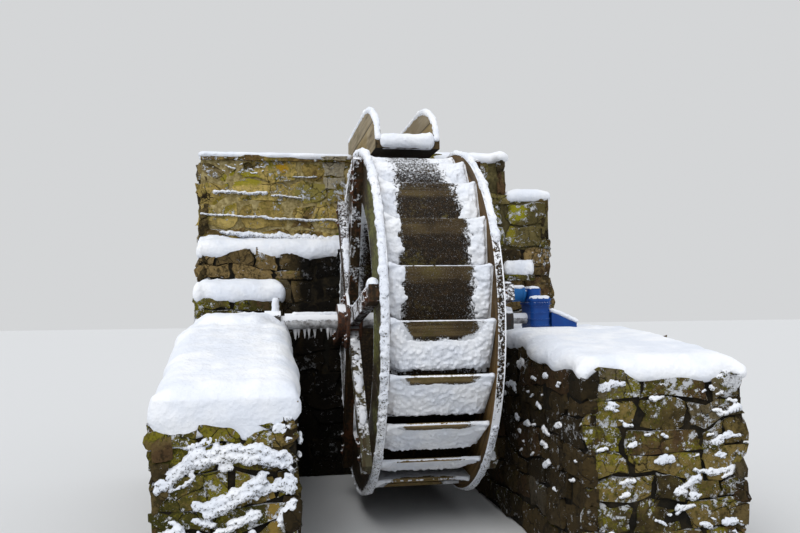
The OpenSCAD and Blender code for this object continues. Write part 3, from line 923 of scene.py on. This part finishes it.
def build_masonry():
    low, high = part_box("head_wall_right")
    boxes = {
        "step": (STEP_LOW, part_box("left_wall")[1]),
        "above_shoulder": ((low[0], low[1], SHOULDER_TOP), (SHOULDER_X, high[1], high[2])),
    }
    for seed, (name, block, side, look) in enumerate(FACES, 3):
        face_of_stones(name, seed, block, boxes.get(block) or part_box(block), side, look)


def single_stones(name, seed, places, look, tint, tint_b):
    """Dressed stones that stand apart from the walls' courses."""
    tints = [{"tint": tint, "tint_b": tint_b}] * len(places)
    dress(scatter(stone_start(seed), places, name, tints), look, "pit", 50)


def build_pier():
    """Two dressed blocks and a cap slab beside the trough, paler than the wall that they stand in."""
    low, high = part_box("head_wall_left")
    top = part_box("coping")[1][2]
    low_x, high_x = high[0] - 0.325, high[0] - 0.075
    blocks = ((3.125, 3.272, 0.0, 0.035), (3.276, top - 0.052, 0.004, 0.032), (top - 0.046, top + 0.004, 0.03, 0.075))
    places = []
    for low_z, high_z, spare, proud in blocks:
        centre = ((low_x + high_x) / 2, low[1] - proud + 0.10, (low_z + high_z) / 2)
        places.append(put(centre, (high_x - low_x + spare * 2, 0.20, high_z - low_z)))
    single_stones("pale_pier", 77, places, "pale_stone", 0.6, 0.45)


def build_shelf():
    """A stone that stands out of the head wall behind the gear unit, with snow on it."""
    rng = random.Random(61)
    wall_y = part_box("head_wall_base")[0][1]
    single_stones("shelf_stone", 81, [put((1.58, wall_y - 0.02, 2.125), (0.40, 0.20, 0.075))],
                  "mossy_stone", 0.3, 0.4)
    places = []
    for _ in range(70):
        spot = (rng.uniform(1.43, 1.73), wall_y - rng.uniform(0.0, 0.075), 2.235 + rng.uniform(-0.012, 0.012))
        places.append(put(spot, (0.045, 0.04, rng.uniform(0.075, 0.10))))
    heap("shelf_snow", places, 0.013, 0.006, 5)


# Snow on the masonry

def cover_wall(rng, node, depth, end_y, bank=0.0):
    """Snow on a side wall: along its slope and then along its level part."""
    low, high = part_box(node)
    level, front, slope_end = SLOPES[node]
    across = (high[0] - low[0], 0, 0)
    slope = (0, slope_end - low[1], level - front)
    places = cover(rng, (low[0], low[1], front), slope, across, depth, 0.12, 0.7)
    run = (0, end_y - slope_end, 0)
    return places + cover(rng, (low[0], slope_end, level), run, across, depth, 0.12, 0.5, bank)


def apron(rng, node, drop):
    """Snow that hangs over a side wall's front, with a ragged lower edge."""
    low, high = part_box(node)
    top = SLOPES[node][1]
    places = []
    x = low[0] + 0.01
    while x < high[0] - 0.01:
        share = (x - low[0]) / (high[0] - low[0])
        reach = drop * (1 - 0.45 * share ** 3) * (0.80 + 0.14 * math.sin(x * 13) + 0.10 * math.sin(x * 31 + 1))
        fall = 0.0
        while fall < reach:
            thick = 0.075 * (1 - 0.6 * fall / reach)
            spot = (x + rng.uniform(-0.01, 0.01), low[1] + 0.01, top + 0.03 - fall)
            places.append(put(spot, (0.055, thick, 0.05), (0, 0, rng.uniform(-0.2, 0.2))))
            fall += 0.04
        x += 0.045
    return places


def build_side_snow(rng):
    """Deep snow on the side walls, on the left one's step and round the left bearing."""
    low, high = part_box("left_wall")
    places = cover_wall(rng, "left_wall", 0.125, STEP_LOW[1], 0.10) + apron(rng, "left_wall", 0.30)
    bearing_low, bearing_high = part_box("bearing_left")
    level = SLOPES["left_wall"][0]
    for step in range(26):
        x = bearing_high[0] - 0.10 - step / 25 * 0.46
        centre = (x, bearing_low[1] + 0.04 + rng.random() * 0.30, level + 0.03)
        places.append(put(centre, (0.15, 0.20, 0.185 * rng.uniform(0.9, 1.08)), (0, 0, rng.uniform(0, 3))))
    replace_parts(heap("left_wall_snow", places, 0.026, 0.010, 10), "wall_snow")
    places = cover_top(rng, low[0], high[0], STEP_LOW[1], high[1], high[2], 0.12, 0.10, 0.4, 0.03)
    heap("step_snow", places, 0.022, 0.009, 8)
    low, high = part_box("right_wall")
    drive_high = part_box("drive_base")[1]
    near_y, far_y, end_y = -0.30, 0.32, high[1] - 0.02
    places = cover_wall(rng, "right_wall", 0.085, near_y)
    places += cover_top(rng, low[0], low[0] + 0.08, near_y, end_y, high[2], 0.06, 0.10)
    places += cover_top(rng, drive_high[0] + 0.05, high[0], near_y, end_y, high[2], 0.08, 0.12)
    places += cover_top(rng, low[0], high[0], far_y, end_y, high[2], 0.08, 0.12)
    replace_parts(heap("right_wall_snow", places, 0.028, 0.010, 10), "wall_snow")


def build_head_snow(rng):
    """Snow on the head wall: its ledge, its coping, its right part and its shoulder."""
    base_low, base_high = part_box("head_wall_base")
    low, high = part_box("head_wall_left")
    places = cover_top(rng, low[0], high[0], base_low[1], low[1], base_high[2], 0.10, 0.09, 0.45, 0.12)
    heap("ledge_snow", places, 0.022, 0.009, 8)
    low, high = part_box("coping")
    edge = 0.02
    places = cover_top(rng, low[0] + edge, high[0] - edge, low[1] + edge, high[1] - edge, high[2], 0.05, 0.11, 0.1)
    heap("coping_snow", places, 0.022, 0.009, 8)
    low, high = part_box("head_wall_right")
    places = cover_top(rng, low[0] + 0.05, SHOULDER_X, low[1], high[1], high[2], 0.075, 0.11)
    for _ in range(10):
        spot = (SHOULDER_X - rng.uniform(0.0, 0.10), low[1] + rng.uniform(-0.03, 0.10),
                high[2] + rng.uniform(0.0, 0.03))
        places.append(put(spot, (0.085, 0.085, 0.07)))
    heap("head_right_snow", places, 0.024, 0.009, 8)
    places = cover_top(rng, SHOULDER_X + 0.06, high[0], low[1], high[1], SHOULDER_TOP, 0.085, 0.11)
    heap("shoulder_snow", places, 0.024, 0.009, 8)


def cling(rng, corner, side, spots, low, high, wide, scales=(0.5, 0.7, 1.0, 1.4)):
    """Lumps of snow that cling to a wall's face where its stones stand out."""
    corner = Vector(corner)
    along, out = (Vector(way) for way in SIDES[side][2:])
    turn = axes(along, out, UP)
    places = []
    for _ in range(spots):
        spot = corner + along * rng.uniform(0.06, wide - 0.06) + UP * rng.uniform(low, high)
        lean = rng.uniform(-0.5, 0.5)
        scale = rng.choice(scales)
        for _ in range(rng.randrange(4, 13)):
            size = (rng.uniform(0.014, 0.030) * scale, rng.uniform(0.010, 0.017), rng.uniform(0.008, 0.024) * scale)
            places.append(put_turned(spot + out * 0.026, size, turn))
            step = rng.uniform(0.006, 0.026) * scale * rng.choice((1, 1, 1, -1))
            spot = spot + along * step + UP * (step * lean + rng.uniform(-0.008, 0.008) * scale)
            reach = (spot - corner).dot(along)
            spot += along * (min(max(reach, 0.03), wide - 0.03) - reach)
    return places


def snow_line(rng, y, from_x, from_z, to_x, to_z, thick, gaps=0.12):
    """Snow on a ledge between two courses, broken here and there."""
    start, end = Vector((from_x, y, from_z)), Vector((to_x, y, to_z))
    steps = round((end - start).length / 0.016)
    places = []
    for step in range(steps + 1):
        drop = 0.012 * math.sin(step * 0.17 + start.z * 9) * math.sin(step * 0.083 + start.x)
        if rng.random() < gaps:
            continue
        spot = start.lerp(end, step / steps) + UP * (drop + rng.uniform(-0.4, 0.4) * thick)
        wide = rng.uniform(0.014, 0.026) + thick * 0.3
        places.append(put(spot, (wide, 0.026 + thick * 0.5, thick * rng.uniform(0.5, 1.3))))
    return places


def build_face_snow():
    """Snow that clings to the walls' faces."""
    rng = random.Random(41)
    low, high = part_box("left_wall")
    front = SLOPES["left_wall"][1]
    edge = 0.13
    places = cling(rng, low, "front", 44, 0.10, front - 0.08, high[0] - low[0])
    places += cling(rng, (high[0] - edge, low[1], 0), "front", 34, 0.25, front - 0.03, edge, (0.35, 0.5, 0.7))
    for from_x, from_z, to_x, to_z, thick in LEFT_SNOW_BANDS:
        for shift in (0.6 * thick, -0.6 * thick):
            places += snow_line(rng, low[1] - 0.022, from_x, from_z + shift, to_x, to_z + shift, thick * 0.8, 0.16)
    crust("left_front_snow", places)
    crust("left_inner_snow", cling(rng, (high[0], high[1], 0), "right", 40, 0.8, front, high[1] - low[1]))
    low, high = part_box("right_wall")
    front = SLOPES["right_wall"][1]
    crust("right_front_snow", cling(rng, low, "front", 66, 0.10, front - 0.06, high[0] - low[0]))
    crust("right_inner_snow", cling(rng, low, "left", 44, 0.5, front, 2.9))
    low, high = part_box("head_wall_left")
    places = []
    for line in HEAD_SNOW_LINES:
        places += snow_line(rng, low[1] - 0.020, *line)
    height = high[2] - low[2]
    places += cling(rng, low, "front", 26, height - 0.16, height - 0.03, 0.72, (0.3, 0.45))
    crust("head_face_snow", places, 0.010, 3)


# Snow in the trough

def build_trough_snow():
    rng = random.Random(8)
    floor_low, floor_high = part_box("trough_floor")
    side_low, side_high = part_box("trough_side_left")
    inside = side_high[0] + 0.01
    places = cover_top(rng, inside, -inside, floor_low[1] + 0.02, floor_high[1] - 0.02, floor_high[2] + 0.03,
                       0.050, 0.075, 0.0)
    x = inside + 0.02
    while x < -inside - 0.02:
        drift = 0.05 * max(0.0, x / inside * -1 - 0.5) ** 2
        centre = (x, floor_low[1] + 0.026 + rng.uniform(-0.006, 0.006), floor_high[2] + 0.018 + drift)
        places.append(put(centre, (0.05, 0.074, (0.078 + drift) * rng.uniform(0.92, 1.08))))
        x += 0.03
    heap("trough_floor_snow", places, 0.016, 0.006, 8)
    rise = side_high[2] - side_low[2]
    steps = 52
    for side in ("left", "right"):
        low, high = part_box(f"trough_side_{side}")
        middle = (low[0] + high[0]) / 2
        places = []
        for step in range(steps + 1):
            angle = math.pi / 2 * (0.05 + 0.95 * step / steps)
            y = low[1] + NOSE_L - NOSE_L * math.cos(angle)
            z = high[2] - rise + rise * math.sin(angle)
            thick = (0.014 + 0.028 * math.sin(angle)) * rng.uniform(0.75, 1.3)
            wide = rng.uniform(0.022, 0.036) if angle < 0.5 else rng.uniform(0.030, 0.040)
            places.append(put((middle + rng.uniform(-0.006, 0.006), y + 0.006, z), (wide, 0.030, thick)))
        y = low[1] + NOSE_L
        while y < high[1] - 0.03:
            size = (rng.uniform(0.030, 0.038), 0.05, rng.uniform(0.030, 0.046))
            places.append(put((middle + rng.uniform(-0.004, 0.004), y, high[2]), size))
            y += 0.04
        heap(f"trough_{side}_snow", places, 0.011, 0.006, 6)


# Snow and bolts of the wheel

def on_wheel(radius, angle, x):
    return Vector((x, -radius * math.cos(angle), AXLE_Z + radius * math.sin(angle)))


def arm_lines():
    """For each arm, its angle, the way that it points and the way across it."""
    for arm in range(ARMS):
        angle = FIRST_ARM + arm * 2 * math.pi / ARMS
        radial = Vector((0, -math.cos(angle), math.sin(angle)))
        across = Vector((0, math.sin(angle), math.cos(angle)))
        yield angle, radial, across


def build_rim_snow():
    """Snow round both rims, thicker on top and left off a stretch of the near right one."""
    for side, x, seed, width, aside in (("left", -RIM_MIDDLE, 11, 0.034, -0.004),
                                        ("right", RIM_MIDDLE, 12, 0.031, 0.002)):
        rng = random.Random(seed)
        places = []
        degrees = 0.0
        while degrees < 360:
            angle = math.radians(degrees)
            upward = max(0.0, math.sin(angle))
            near = math.cos(angle) > -0.2
            bare = side == "right" and -0.55 < angle - (2 * math.pi if degrees > 180 else 0) < 0.42
            swell = 1 + 0.22 * math.sin(degrees * 0.31 + seed) + 0.20 * math.sin(degrees * 0.083 * seed)
            thick = (0.009 + 0.016 * upward + (0.006 if near else 0)) * swell * rng.uniform(0.7, 1.35)
            wide = width * (0.6 + 0.4 * swell) * rng.uniform(0.85, 1.2)
            shift = aside + rng.uniform(-0.005, 0.005)
            if not bare:
                spot = on_wheel(RIM_R + 0.001, angle, x + shift)
                places.append(put_turned(spot, (wide, thick, 0.030), Matrix.Rotation(-angle, 4, "X")))
            degrees += 0.95
        heap(f"rim_{side}_snow", places, 0.009, 0.010, 2, "wheel", "rim_snow", 3)


def lip_snow(rng, lip, down, inward, turn, length, full):
    """A line of snow along a bucket's lip that swells at both ends."""
    places = []
    x = -length
    while x < length:
        share = abs(x) / length
        swell = (0.030 if x < 0 else 0.016) * max(0.0, (share - 0.74) / 0.26) ** 1.6
        thick = (0.0045 + 0.008 * full + swell) * rng.uniform(0.75, 1.25)
        centre = lip + RIGHT * x + inward * (0.013 - swell * 0.4) - down * (swell * 0.3)
        places.append(put_turned(centre, (0.016, 0.014 + swell * 0.7, thick), turn))
        x += 0.012
    return places


def board_snow(rng, lip, down, inward, turn, length, full, angle, board):
    """Snow on a bucket's board: a sheet on its lower part, or a pad at each end where the bucket is high."""
    high = angle >= PITCH / 2
    starts_at = 0.165 if angle > -PITCH / 2 else 0.085
    phase = rng.uniform(0, 6)
    places = []
    x = -length + 0.01
    while x < length:
        from_end = length - abs(x)
        wave = math.sin(x * 19 + phase) * 0.5 + math.sin(x * 43 + phase * 2) * 0.3
        top = 0.012 if high else starts_at * min(1.0, max(0.05, (from_end - 0.05) / 0.09)) + wave * 0.014
        step = top + 0.012
        while step < board - 0.030 + wave * 0.006:
            inside = min(step - top, board - 0.014 - step)
            if high:
                reach = 0.118 + 0.018 * math.sin(step * 31 + phase) + 0.012 * math.sin(step * 77 + phase * 3)
                reach += 0.03 * full
                if from_end > reach:
                    step += 0.024
                    continue
                inside = min(inside, reach - from_end)
            thick = (0.006 + 0.017 * min(1.0, max(0.0, inside) / 0.05)) * rng.uniform(0.75, 1.2)
            if not high:
                thick += 0.030 * ((step - top) / (board - top)) ** 1.3 * min(1.0, from_end / 0.10)
            spot = lip + RIGHT * (x + rng.uniform(-0.005, 0.005)) + down * (step + rng.uniform(-0.006, 0.006))
            spot -= inward * max(0.0, thick - 0.020)
            places.append(put_turned(spot, (0.021, thick, 0.021), turn))
            step += 0.024
        x += 0.026
    return places


def build_bucket_snow():
    """Snow on the lip and the board of each bucket from the wheel's near side to its top."""
    length = RIM_IN - 0.012
    for index in range(1, BUCKETS + 1):
        angle = FIRST_LIP + (index - 1) * PITCH
        angle -= 2 * math.pi if angle > math.pi else 0
        if not -1.35 < angle < 1.9:
            continue
        rng = random.Random(100 + index)
        lip = on_wheel(LIP_R, angle, 0)
        foot = on_wheel(ELBOW_R, angle - PITCH, 0) - lip
        down = foot.normalized()
        inward = RIGHT.cross(down)
        turn = axes(RIGHT, inward, -down)
        full = min(1.0, max(0.0, (angle - 0.75) / 0.4))
        places = lip_snow(rng, lip, down, inward, turn, length, full)
        places += board_snow(rng, lip, down, inward, turn, length, full, angle, foot.length)
        heap(f"bucket_{index}_snow", places, 0.0075, 0.0050, 5, "wheel", "snow", 2.5)


def build_arm_snow():
    """Snow on the arms' upper sides: thick where they lie near the level and in patches where they stand."""
    for side, sign in (("left", -1), ("right", 1)):
        rng = random.Random(30 + sign)
        places = []
        middle = Vector((sign * (RIM_OUT + (ARM_OUT - RIM_OUT) / 2), 0, AXLE_Z))
        for angle, radial, across in arm_lines():
            upward = across if across.z > 0 else -across
            steep = abs(radial.z)
            radius = 0.27
            bare = 0.0
            while radius < 1.47:
                if steep > 0.5 and bare <= 0 and rng.random() < 0.10:
                    bare = rng.uniform(0.05, 0.22)
                if bare > 0:
                    bare -= 0.03
                else:
                    thick = (0.036 - 0.022 * steep) * rng.uniform(0.5, 1.35)
                    shift = rng.uniform(-0.012, 0.012) if steep > 0.5 else rng.uniform(-0.004, 0.004)
                    spot = middle + RIGHT * shift + radial * radius + upward * (ARM_W / 2)
                    wide = rng.uniform(0.026, 0.040) if steep > 0.5 else 0.040
                    places.append(put_turned(spot, (wide, 0.036, thick), Matrix.Rotation(-angle, 4, "X")))
                radius += 0.03
            if steep < 0.5 and side == "left":
                for _ in range(6):
                    spot = middle + radial * (1.40 + rng.uniform(-0.05, 0.05)) + upward * (ARM_W / 2 + 0.01)
                    places.append(put(spot, (0.05, 0.07, 0.055)))
        heap(f"arms_{side}_snow", places, 0.010, 0.012, 2, "wheel", "thin_snow", 3)


def bolt_start(head, height):
    """A washer and a six-sided bolt head along X."""
    deselect()
    bpy.ops.mesh.primitive_cylinder_add(vertices=16, radius=head * 1.5, depth=0.005, location=(0, 0, 0.0025))
    washer = bpy.context.object
    bpy.ops.mesh.primitive_cylinder_add(vertices=6, radius=head, depth=height, location=(0, 0, 0.005 + height / 2))
    nut = bpy.context.object
    modify(nut, "BEVEL", width=0.0025, segments=1)
    bolt = join([washer, nut], "bolt")
    bpy.ops.object.transform_apply(location=True, rotation=True, scale=True)
    bolt.data.transform(Matrix.Rotation(math.pi / 2, 4, "Y"))
    return bolt


def add_bolts(name, places, look, body, head, height):
    """Bolts at many places, as one piece."""
    dress(scatter(bolt_start(head, height), places, name), look, body)


def build_wheel_bolts():
    """The bolts that hold each arm to the rim and to the hub."""
    for side, sign, half_turn in (("left", -1, math.pi), ("right", 1, 0.0)):
        turn = Matrix.Rotation(half_turn, 4, "Z")
        places = []
        for _, radial, across in arm_lines():
            for out, radius, shift in ARM_BOLTS:
                spot = Vector((sign * (ARM_OUT + out), 0, AXLE_Z)) + radial * radius + across * shift
                places.append(Matrix.Translation(spot) @ turn)
        add_bolts(f"wheel_bolts_{side}", places, "rusty_iron", "wheel", 0.019, 0.014)


def build_shaft_snow():
    """Snow along the shaft's top between the left bearing and the hub, and on both bearings."""
    rng = random.Random(23)
    bearing_low, bearing_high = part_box("bearing_left")
    places = []
    x = bearing_high[0] + 0.125
    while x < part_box("hub_left")[0][0] - 0.01:
        spot = (x, rng.uniform(-0.006, 0.006), AXLE_Z + 0.058)
        places.append(put(spot, (0.03, rng.uniform(0.036, 0.050), rng.uniform(0.022, 0.030))))
        x += 0.018
    heap("shaft_snow", places, 0.010, 0.006, 4, "wheel")
    low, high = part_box("bearing_right")
    places = cover_top(rng, low[0] + 0.015, high[0] - 0.015, -0.05, 0.05, high[2] - 0.014, 0.036, 0.04, 0.2)
    heap("bearing_right_snow", places, 0.010, 0.004, 4)
    places = []
    for step in range(11):
        spot = (bearing_high[0] - 0.045 + rng.uniform(-0.004, 0.004), 0, bearing_high[2] - 0.03 + step * 0.012)
        places.append(put(spot, (0.034, 0.036, 0.03)))
    heap("bearing_left_snow", places, 0.009, 0.006, 3)


def icicle_start():
    """A hanging icicle of length 1 with its thick end at the origin."""
    deselect()
    bpy.ops.mesh.primitive_cone_add(vertices=7, radius1=0.10, radius2=0.004, depth=1,
                                    location=(0, 0, -0.5), rotation=(math.pi, 0, 0))
    icicle = bpy.context.object
    edit_whole()
    bpy.ops.mesh.subdivide(number_cuts=2)
    bpy.ops.transform.vertex_random(offset=0.012, seed=4)
    bpy.ops.object.mode_set(mode="OBJECT")
    bpy.ops.object.transform_apply(location=True, rotation=True, scale=True)
    return icicle


def build_icicles():
    """Icicles under the shaft between the left wall and the hub."""
    rng = random.Random(17)
    start_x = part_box("shaft")[0][0] + 0.30
    end_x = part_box("hub_left")[0][0] - 0.01
    places = []
    for _ in range(13):
        x = rng.uniform(start_x, end_x)
        size = rng.uniform(0.025, 0.11)
        places.append(put((x, rng.uniform(-0.02, 0.02), AXLE_Z - 0.062), (0.10 + size, 0.10 + size, size)))
    dress(scatter(icicle_start(), places, "shaft_icicles"), "ice", "wheel")


# Gear unit

def bolt_at(x, y, z, out):
    """The place of a bolt whose head points out."""
    return Matrix.Translation((x, y, z)) @ RIGHT.rotation_difference(Vector(out)).to_matrix().to_4x4()


def spread(low, high, count):
    """Values spaced evenly from low to high."""
    return [low + (high - low) * index / (count - 1) for index in range(count)]


def build_gear_bolts():
    """Bolts round the lid and in the collar under it."""
    low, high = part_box("gearbox")
    edge = 0.020
    left, right, near, far = low[0] + edge, high[0] - edge, low[1] + edge, high[1] - edge
    places = [bolt_at(x, y, LID_TOP, UP) for x in spread(left, right, 4) for y in (near, far)]
    places += [bolt_at(x, y, LID_TOP, UP) for y in spread(near, far, 6)[1:-1] for x in (left, right)]
    add_bolts("lid_bolts", places, "blue_paint", "pit", 0.008, 0.0064)
    sink = 0.006
    places = [bolt_at(x, low[1] + sink, COLLAR_Z, (0, -1, 0)) for x in spread(low[0] + 0.045, high[0] - 0.045, 6)]
    for y in spread(low[1] + 0.05, high[1] - 0.05, 7):
        places.append(bolt_at(low[0] + sink, y, COLLAR_Z, (-1, 0, 0)))
        places.append(bolt_at(high[0] - sink, y, COLLAR_Z, (1, 0, 0)))
    add_bolts("collar_bolts", places, "blue_paint", "pit", 0.0075, 0.006)


def build_gear_snow():
    """Snow on the lid, the gear head, the sloping bracket and the generator."""
    rng = random.Random(21)
    low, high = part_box("gearbox")
    edge = 0.03
    beside_head = low[0] + 0.012 + GEAR_HEAD_L + 0.012
    places = cover_top(rng, beside_head, high[0] - 0.018, low[1] + edge, high[1] - edge, LID_TOP, 0.034, 0.045, 0.0)
    places += cover_top(rng, low[0] + edge, high[0] - edge, low[1] + edge, low[1] + edge * 2, LID_TOP,
                        0.034, 0.04, 0.0)
    heap("lid_snow", places, 0.010, 0.004, 4)
    half = GEAR_HEAD_W / 2 - 0.02
    places = cover_top(rng, low[0] + 0.035, low[0] + GEAR_HEAD_L - 0.010, -half, half, high[2], 0.026, 0.04, 0.0)
    heap("gear_head_snow", places, 0.009, 0.004, 4)
    bracket_top = (high[0] + 0.004, low[1] + 0.012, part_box("drive_base")[0][2] + 0.225)
    places = cover(rng, bracket_top, (BRACKET_L, 0, -0.105), (0, -2 * bracket_top[1], 0), 0.022, 0.05, 0.0)
    heap("bracket_snow", places, 0.011, 0.005, 4)
    low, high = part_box("generator")
    radius = (high[2] - low[2]) / 2 - 0.008
    middle_z = (high[2] + low[2]) / 2
    places = []
    x = low[0] + 0.01
    while x < high[0] - 0.03:
        for aside in (-0.5, -0.25, 0, 0.25, 0.5):
            angle = aside + rng.uniform(-0.06, 0.06)
            centre = (x, radius * math.sin(angle), middle_z + radius * math.cos(angle))
            places.append(put(centre, (0.02, 0.022, 0.013)))
        x += 0.018
    heap("generator_snow", places, 0.008, 0.003, 3)


# Light and backdrop

def build_floor():
    deselect()
    bpy.ops.mesh.primitive_plane_add(size=120, location=(0, 0, -0.002))
    floor = bpy.context.object
    floor.name = "pale_floor"
    floor.data.materials.append(Look("pale_floor").finish(FLOOR_GREY, 0.95).material)


def build_light():
    """Soft daylight, a pale backdrop for the camera and for gloss and glass, and a wide, low sun."""
    world = bpy.data.worlds.new("pale_day")
    bpy.context.scene.world = world
    world.use_nodes = True
    nodes = Nodes(world.node_tree)
    light = nodes.node("ShaderNodeBackground", {}, {"Color": DAYLIGHT, "Strength": 0.86})
    pale = nodes.node("ShaderNodeBackground", {}, {"Color": BACKDROP_GREY})
    rays = nodes.node("ShaderNodeLightPath").outputs
    seen = Val(nodes, rays["Is Camera Ray"]).most(rays["Is Glossy Ray"]).most(rays["Is Transmission Ray"])
    mix = nodes.node("ShaderNodeMixShader", {}, {0: seen, 1: light.outputs[0], 2: pale.outputs[0]})
    nodes.node("ShaderNodeOutputWorld", {}, {"Surface": mix.outputs[0]})
    lamp = bpy.data.lights.new("soft_sun", "SUN")
    lamp.energy = 1.5
    lamp.angle = math.radians(40)
    lamp.color = (1.0, 0.98, 0.95)
    sun = bpy.data.objects.new("soft_sun", lamp)
    sun.rotation_euler = Euler((math.radians(42), 0, math.radians(-35)))
    bpy.context.scene.collection.objects.link(sun)


make_camera()
bpy.context.scene.view_settings.view_transform = "Standard"
build_floor()
build_light()

LOOKS = {look.name: look.material for look in (
    snow_look("snow"),
    snow_look("thin_snow", 0.02),
    snow_look("rim_snow", 0.004),
    ice_look(),
    bucket_look(),
    rim_look(),
    arm_look(),
    trough_look(),
    batten_look(),
    # The pit stone and the deep stone carry painted shade towards the pit's floor, and the deep stone behind the
    # wheel as well.
    stone_look("pit_stone", DARK_STONE, BROWN_STONE, snow=-0.02, pit_shade=0.35),
    stone_look("deep_stone", DARK_STONE, YELLOW_STONE, moss=0.04, snow=0.02, pit_shade=0.97, behind_wheel=0.97),
    stone_look("field_stone", DARK_STONE, FIELD_STONE, moss=0.03, snow=-0.12),
    stone_look("near_stone", DARK_STONE, OCHRE_STONE, moss=0.15, snow=0.18, stained=0.75, spots=FRONT_SPOTS),
    stone_look("yellow_stone", (0.29, 0.205, 0.056), (0.70, 0.53, 0.17), moss=0.11, snow=0.09, stained=0.47,
               spots=WALL_SPOTS),
    stone_look("olive_stone", (0.075, 0.062, 0.020), (0.26, 0.21, 0.08), moss=0.15, snow=0.20, stained=0.8,
               spots=WALL_SPOTS),
    stone_look("mossy_stone", (0.045, 0.036, 0.014), (0.17, 0.13, 0.05), moss=0.15, snow=0.17),
    stone_look("pale_stone", (0.30, 0.26, 0.17), (0.50, 0.45, 0.33), stained=0.25),
    mortar_look("mortar", MORTAR, DARK_STONE),
    mortar_look("pale_mortar", (0.22, 0.17, 0.062), (0.52, 0.43, 0.21), 0.20),
    mortar_look("olive_mortar", (0.060, 0.050, 0.018), (0.15, 0.125, 0.050), 0.4),
    hub_look(),
    shaft_look(),
    iron_look(),
    paint_look("blue_paint", BLUE, WORN_BLUE),
    paint_look("light_blue_paint", LIGHT_BLUE, WORN_LIGHT_BLUE),
)}

# The look of each CAD node that isn't a bucket
NODE_LOOKS = {
    "left_wall": "mortar", "right_wall": "mortar", "head_wall_base": "mortar", "head_wall_left": "pale_mortar",
    "head_wall_middle": "mortar", "head_wall_right": "olive_mortar", "coping": "yellow_stone", "wall_snow": "snow",
    "trough_floor": "trough_boards", "trough_side_left": "trough_boards", "trough_side_right": "trough_boards",
    "trough_battens": "batten_timber", "bearing_left": "bearing_iron", "bearing_right": "bearing_iron",
    "drive_base": "blue_paint", "gearbox": "blue_paint", "generator": "light_blue_paint",
    "shaft": "iced_steel", "hub_left": "rusty_iron", "hub_right": "rusty_iron",
    "arms_left": "arm_timber", "arms_right": "arm_timber", "rim_left": "rim_boards", "rim_right": "rim_boards",
}
for name, node in NODES.items():
    node.data.materials.clear()
    node.data.materials.append(LOOKS[NODE_LOOKS.get(name, "bucket_boards")])

build_masonry()
build_pier()
wall_rng = random.Random(5)
build_side_snow(wall_rng)
build_head_snow(wall_rng)
build_face_snow()
build_shelf()
build_trough_snow()
build_rim_snow()
build_bucket_snow()
build_wheel_bolts()
build_arm_snow()
build_gear_bolts()
build_gear_snow()
build_shaft_snow()
build_icicles()
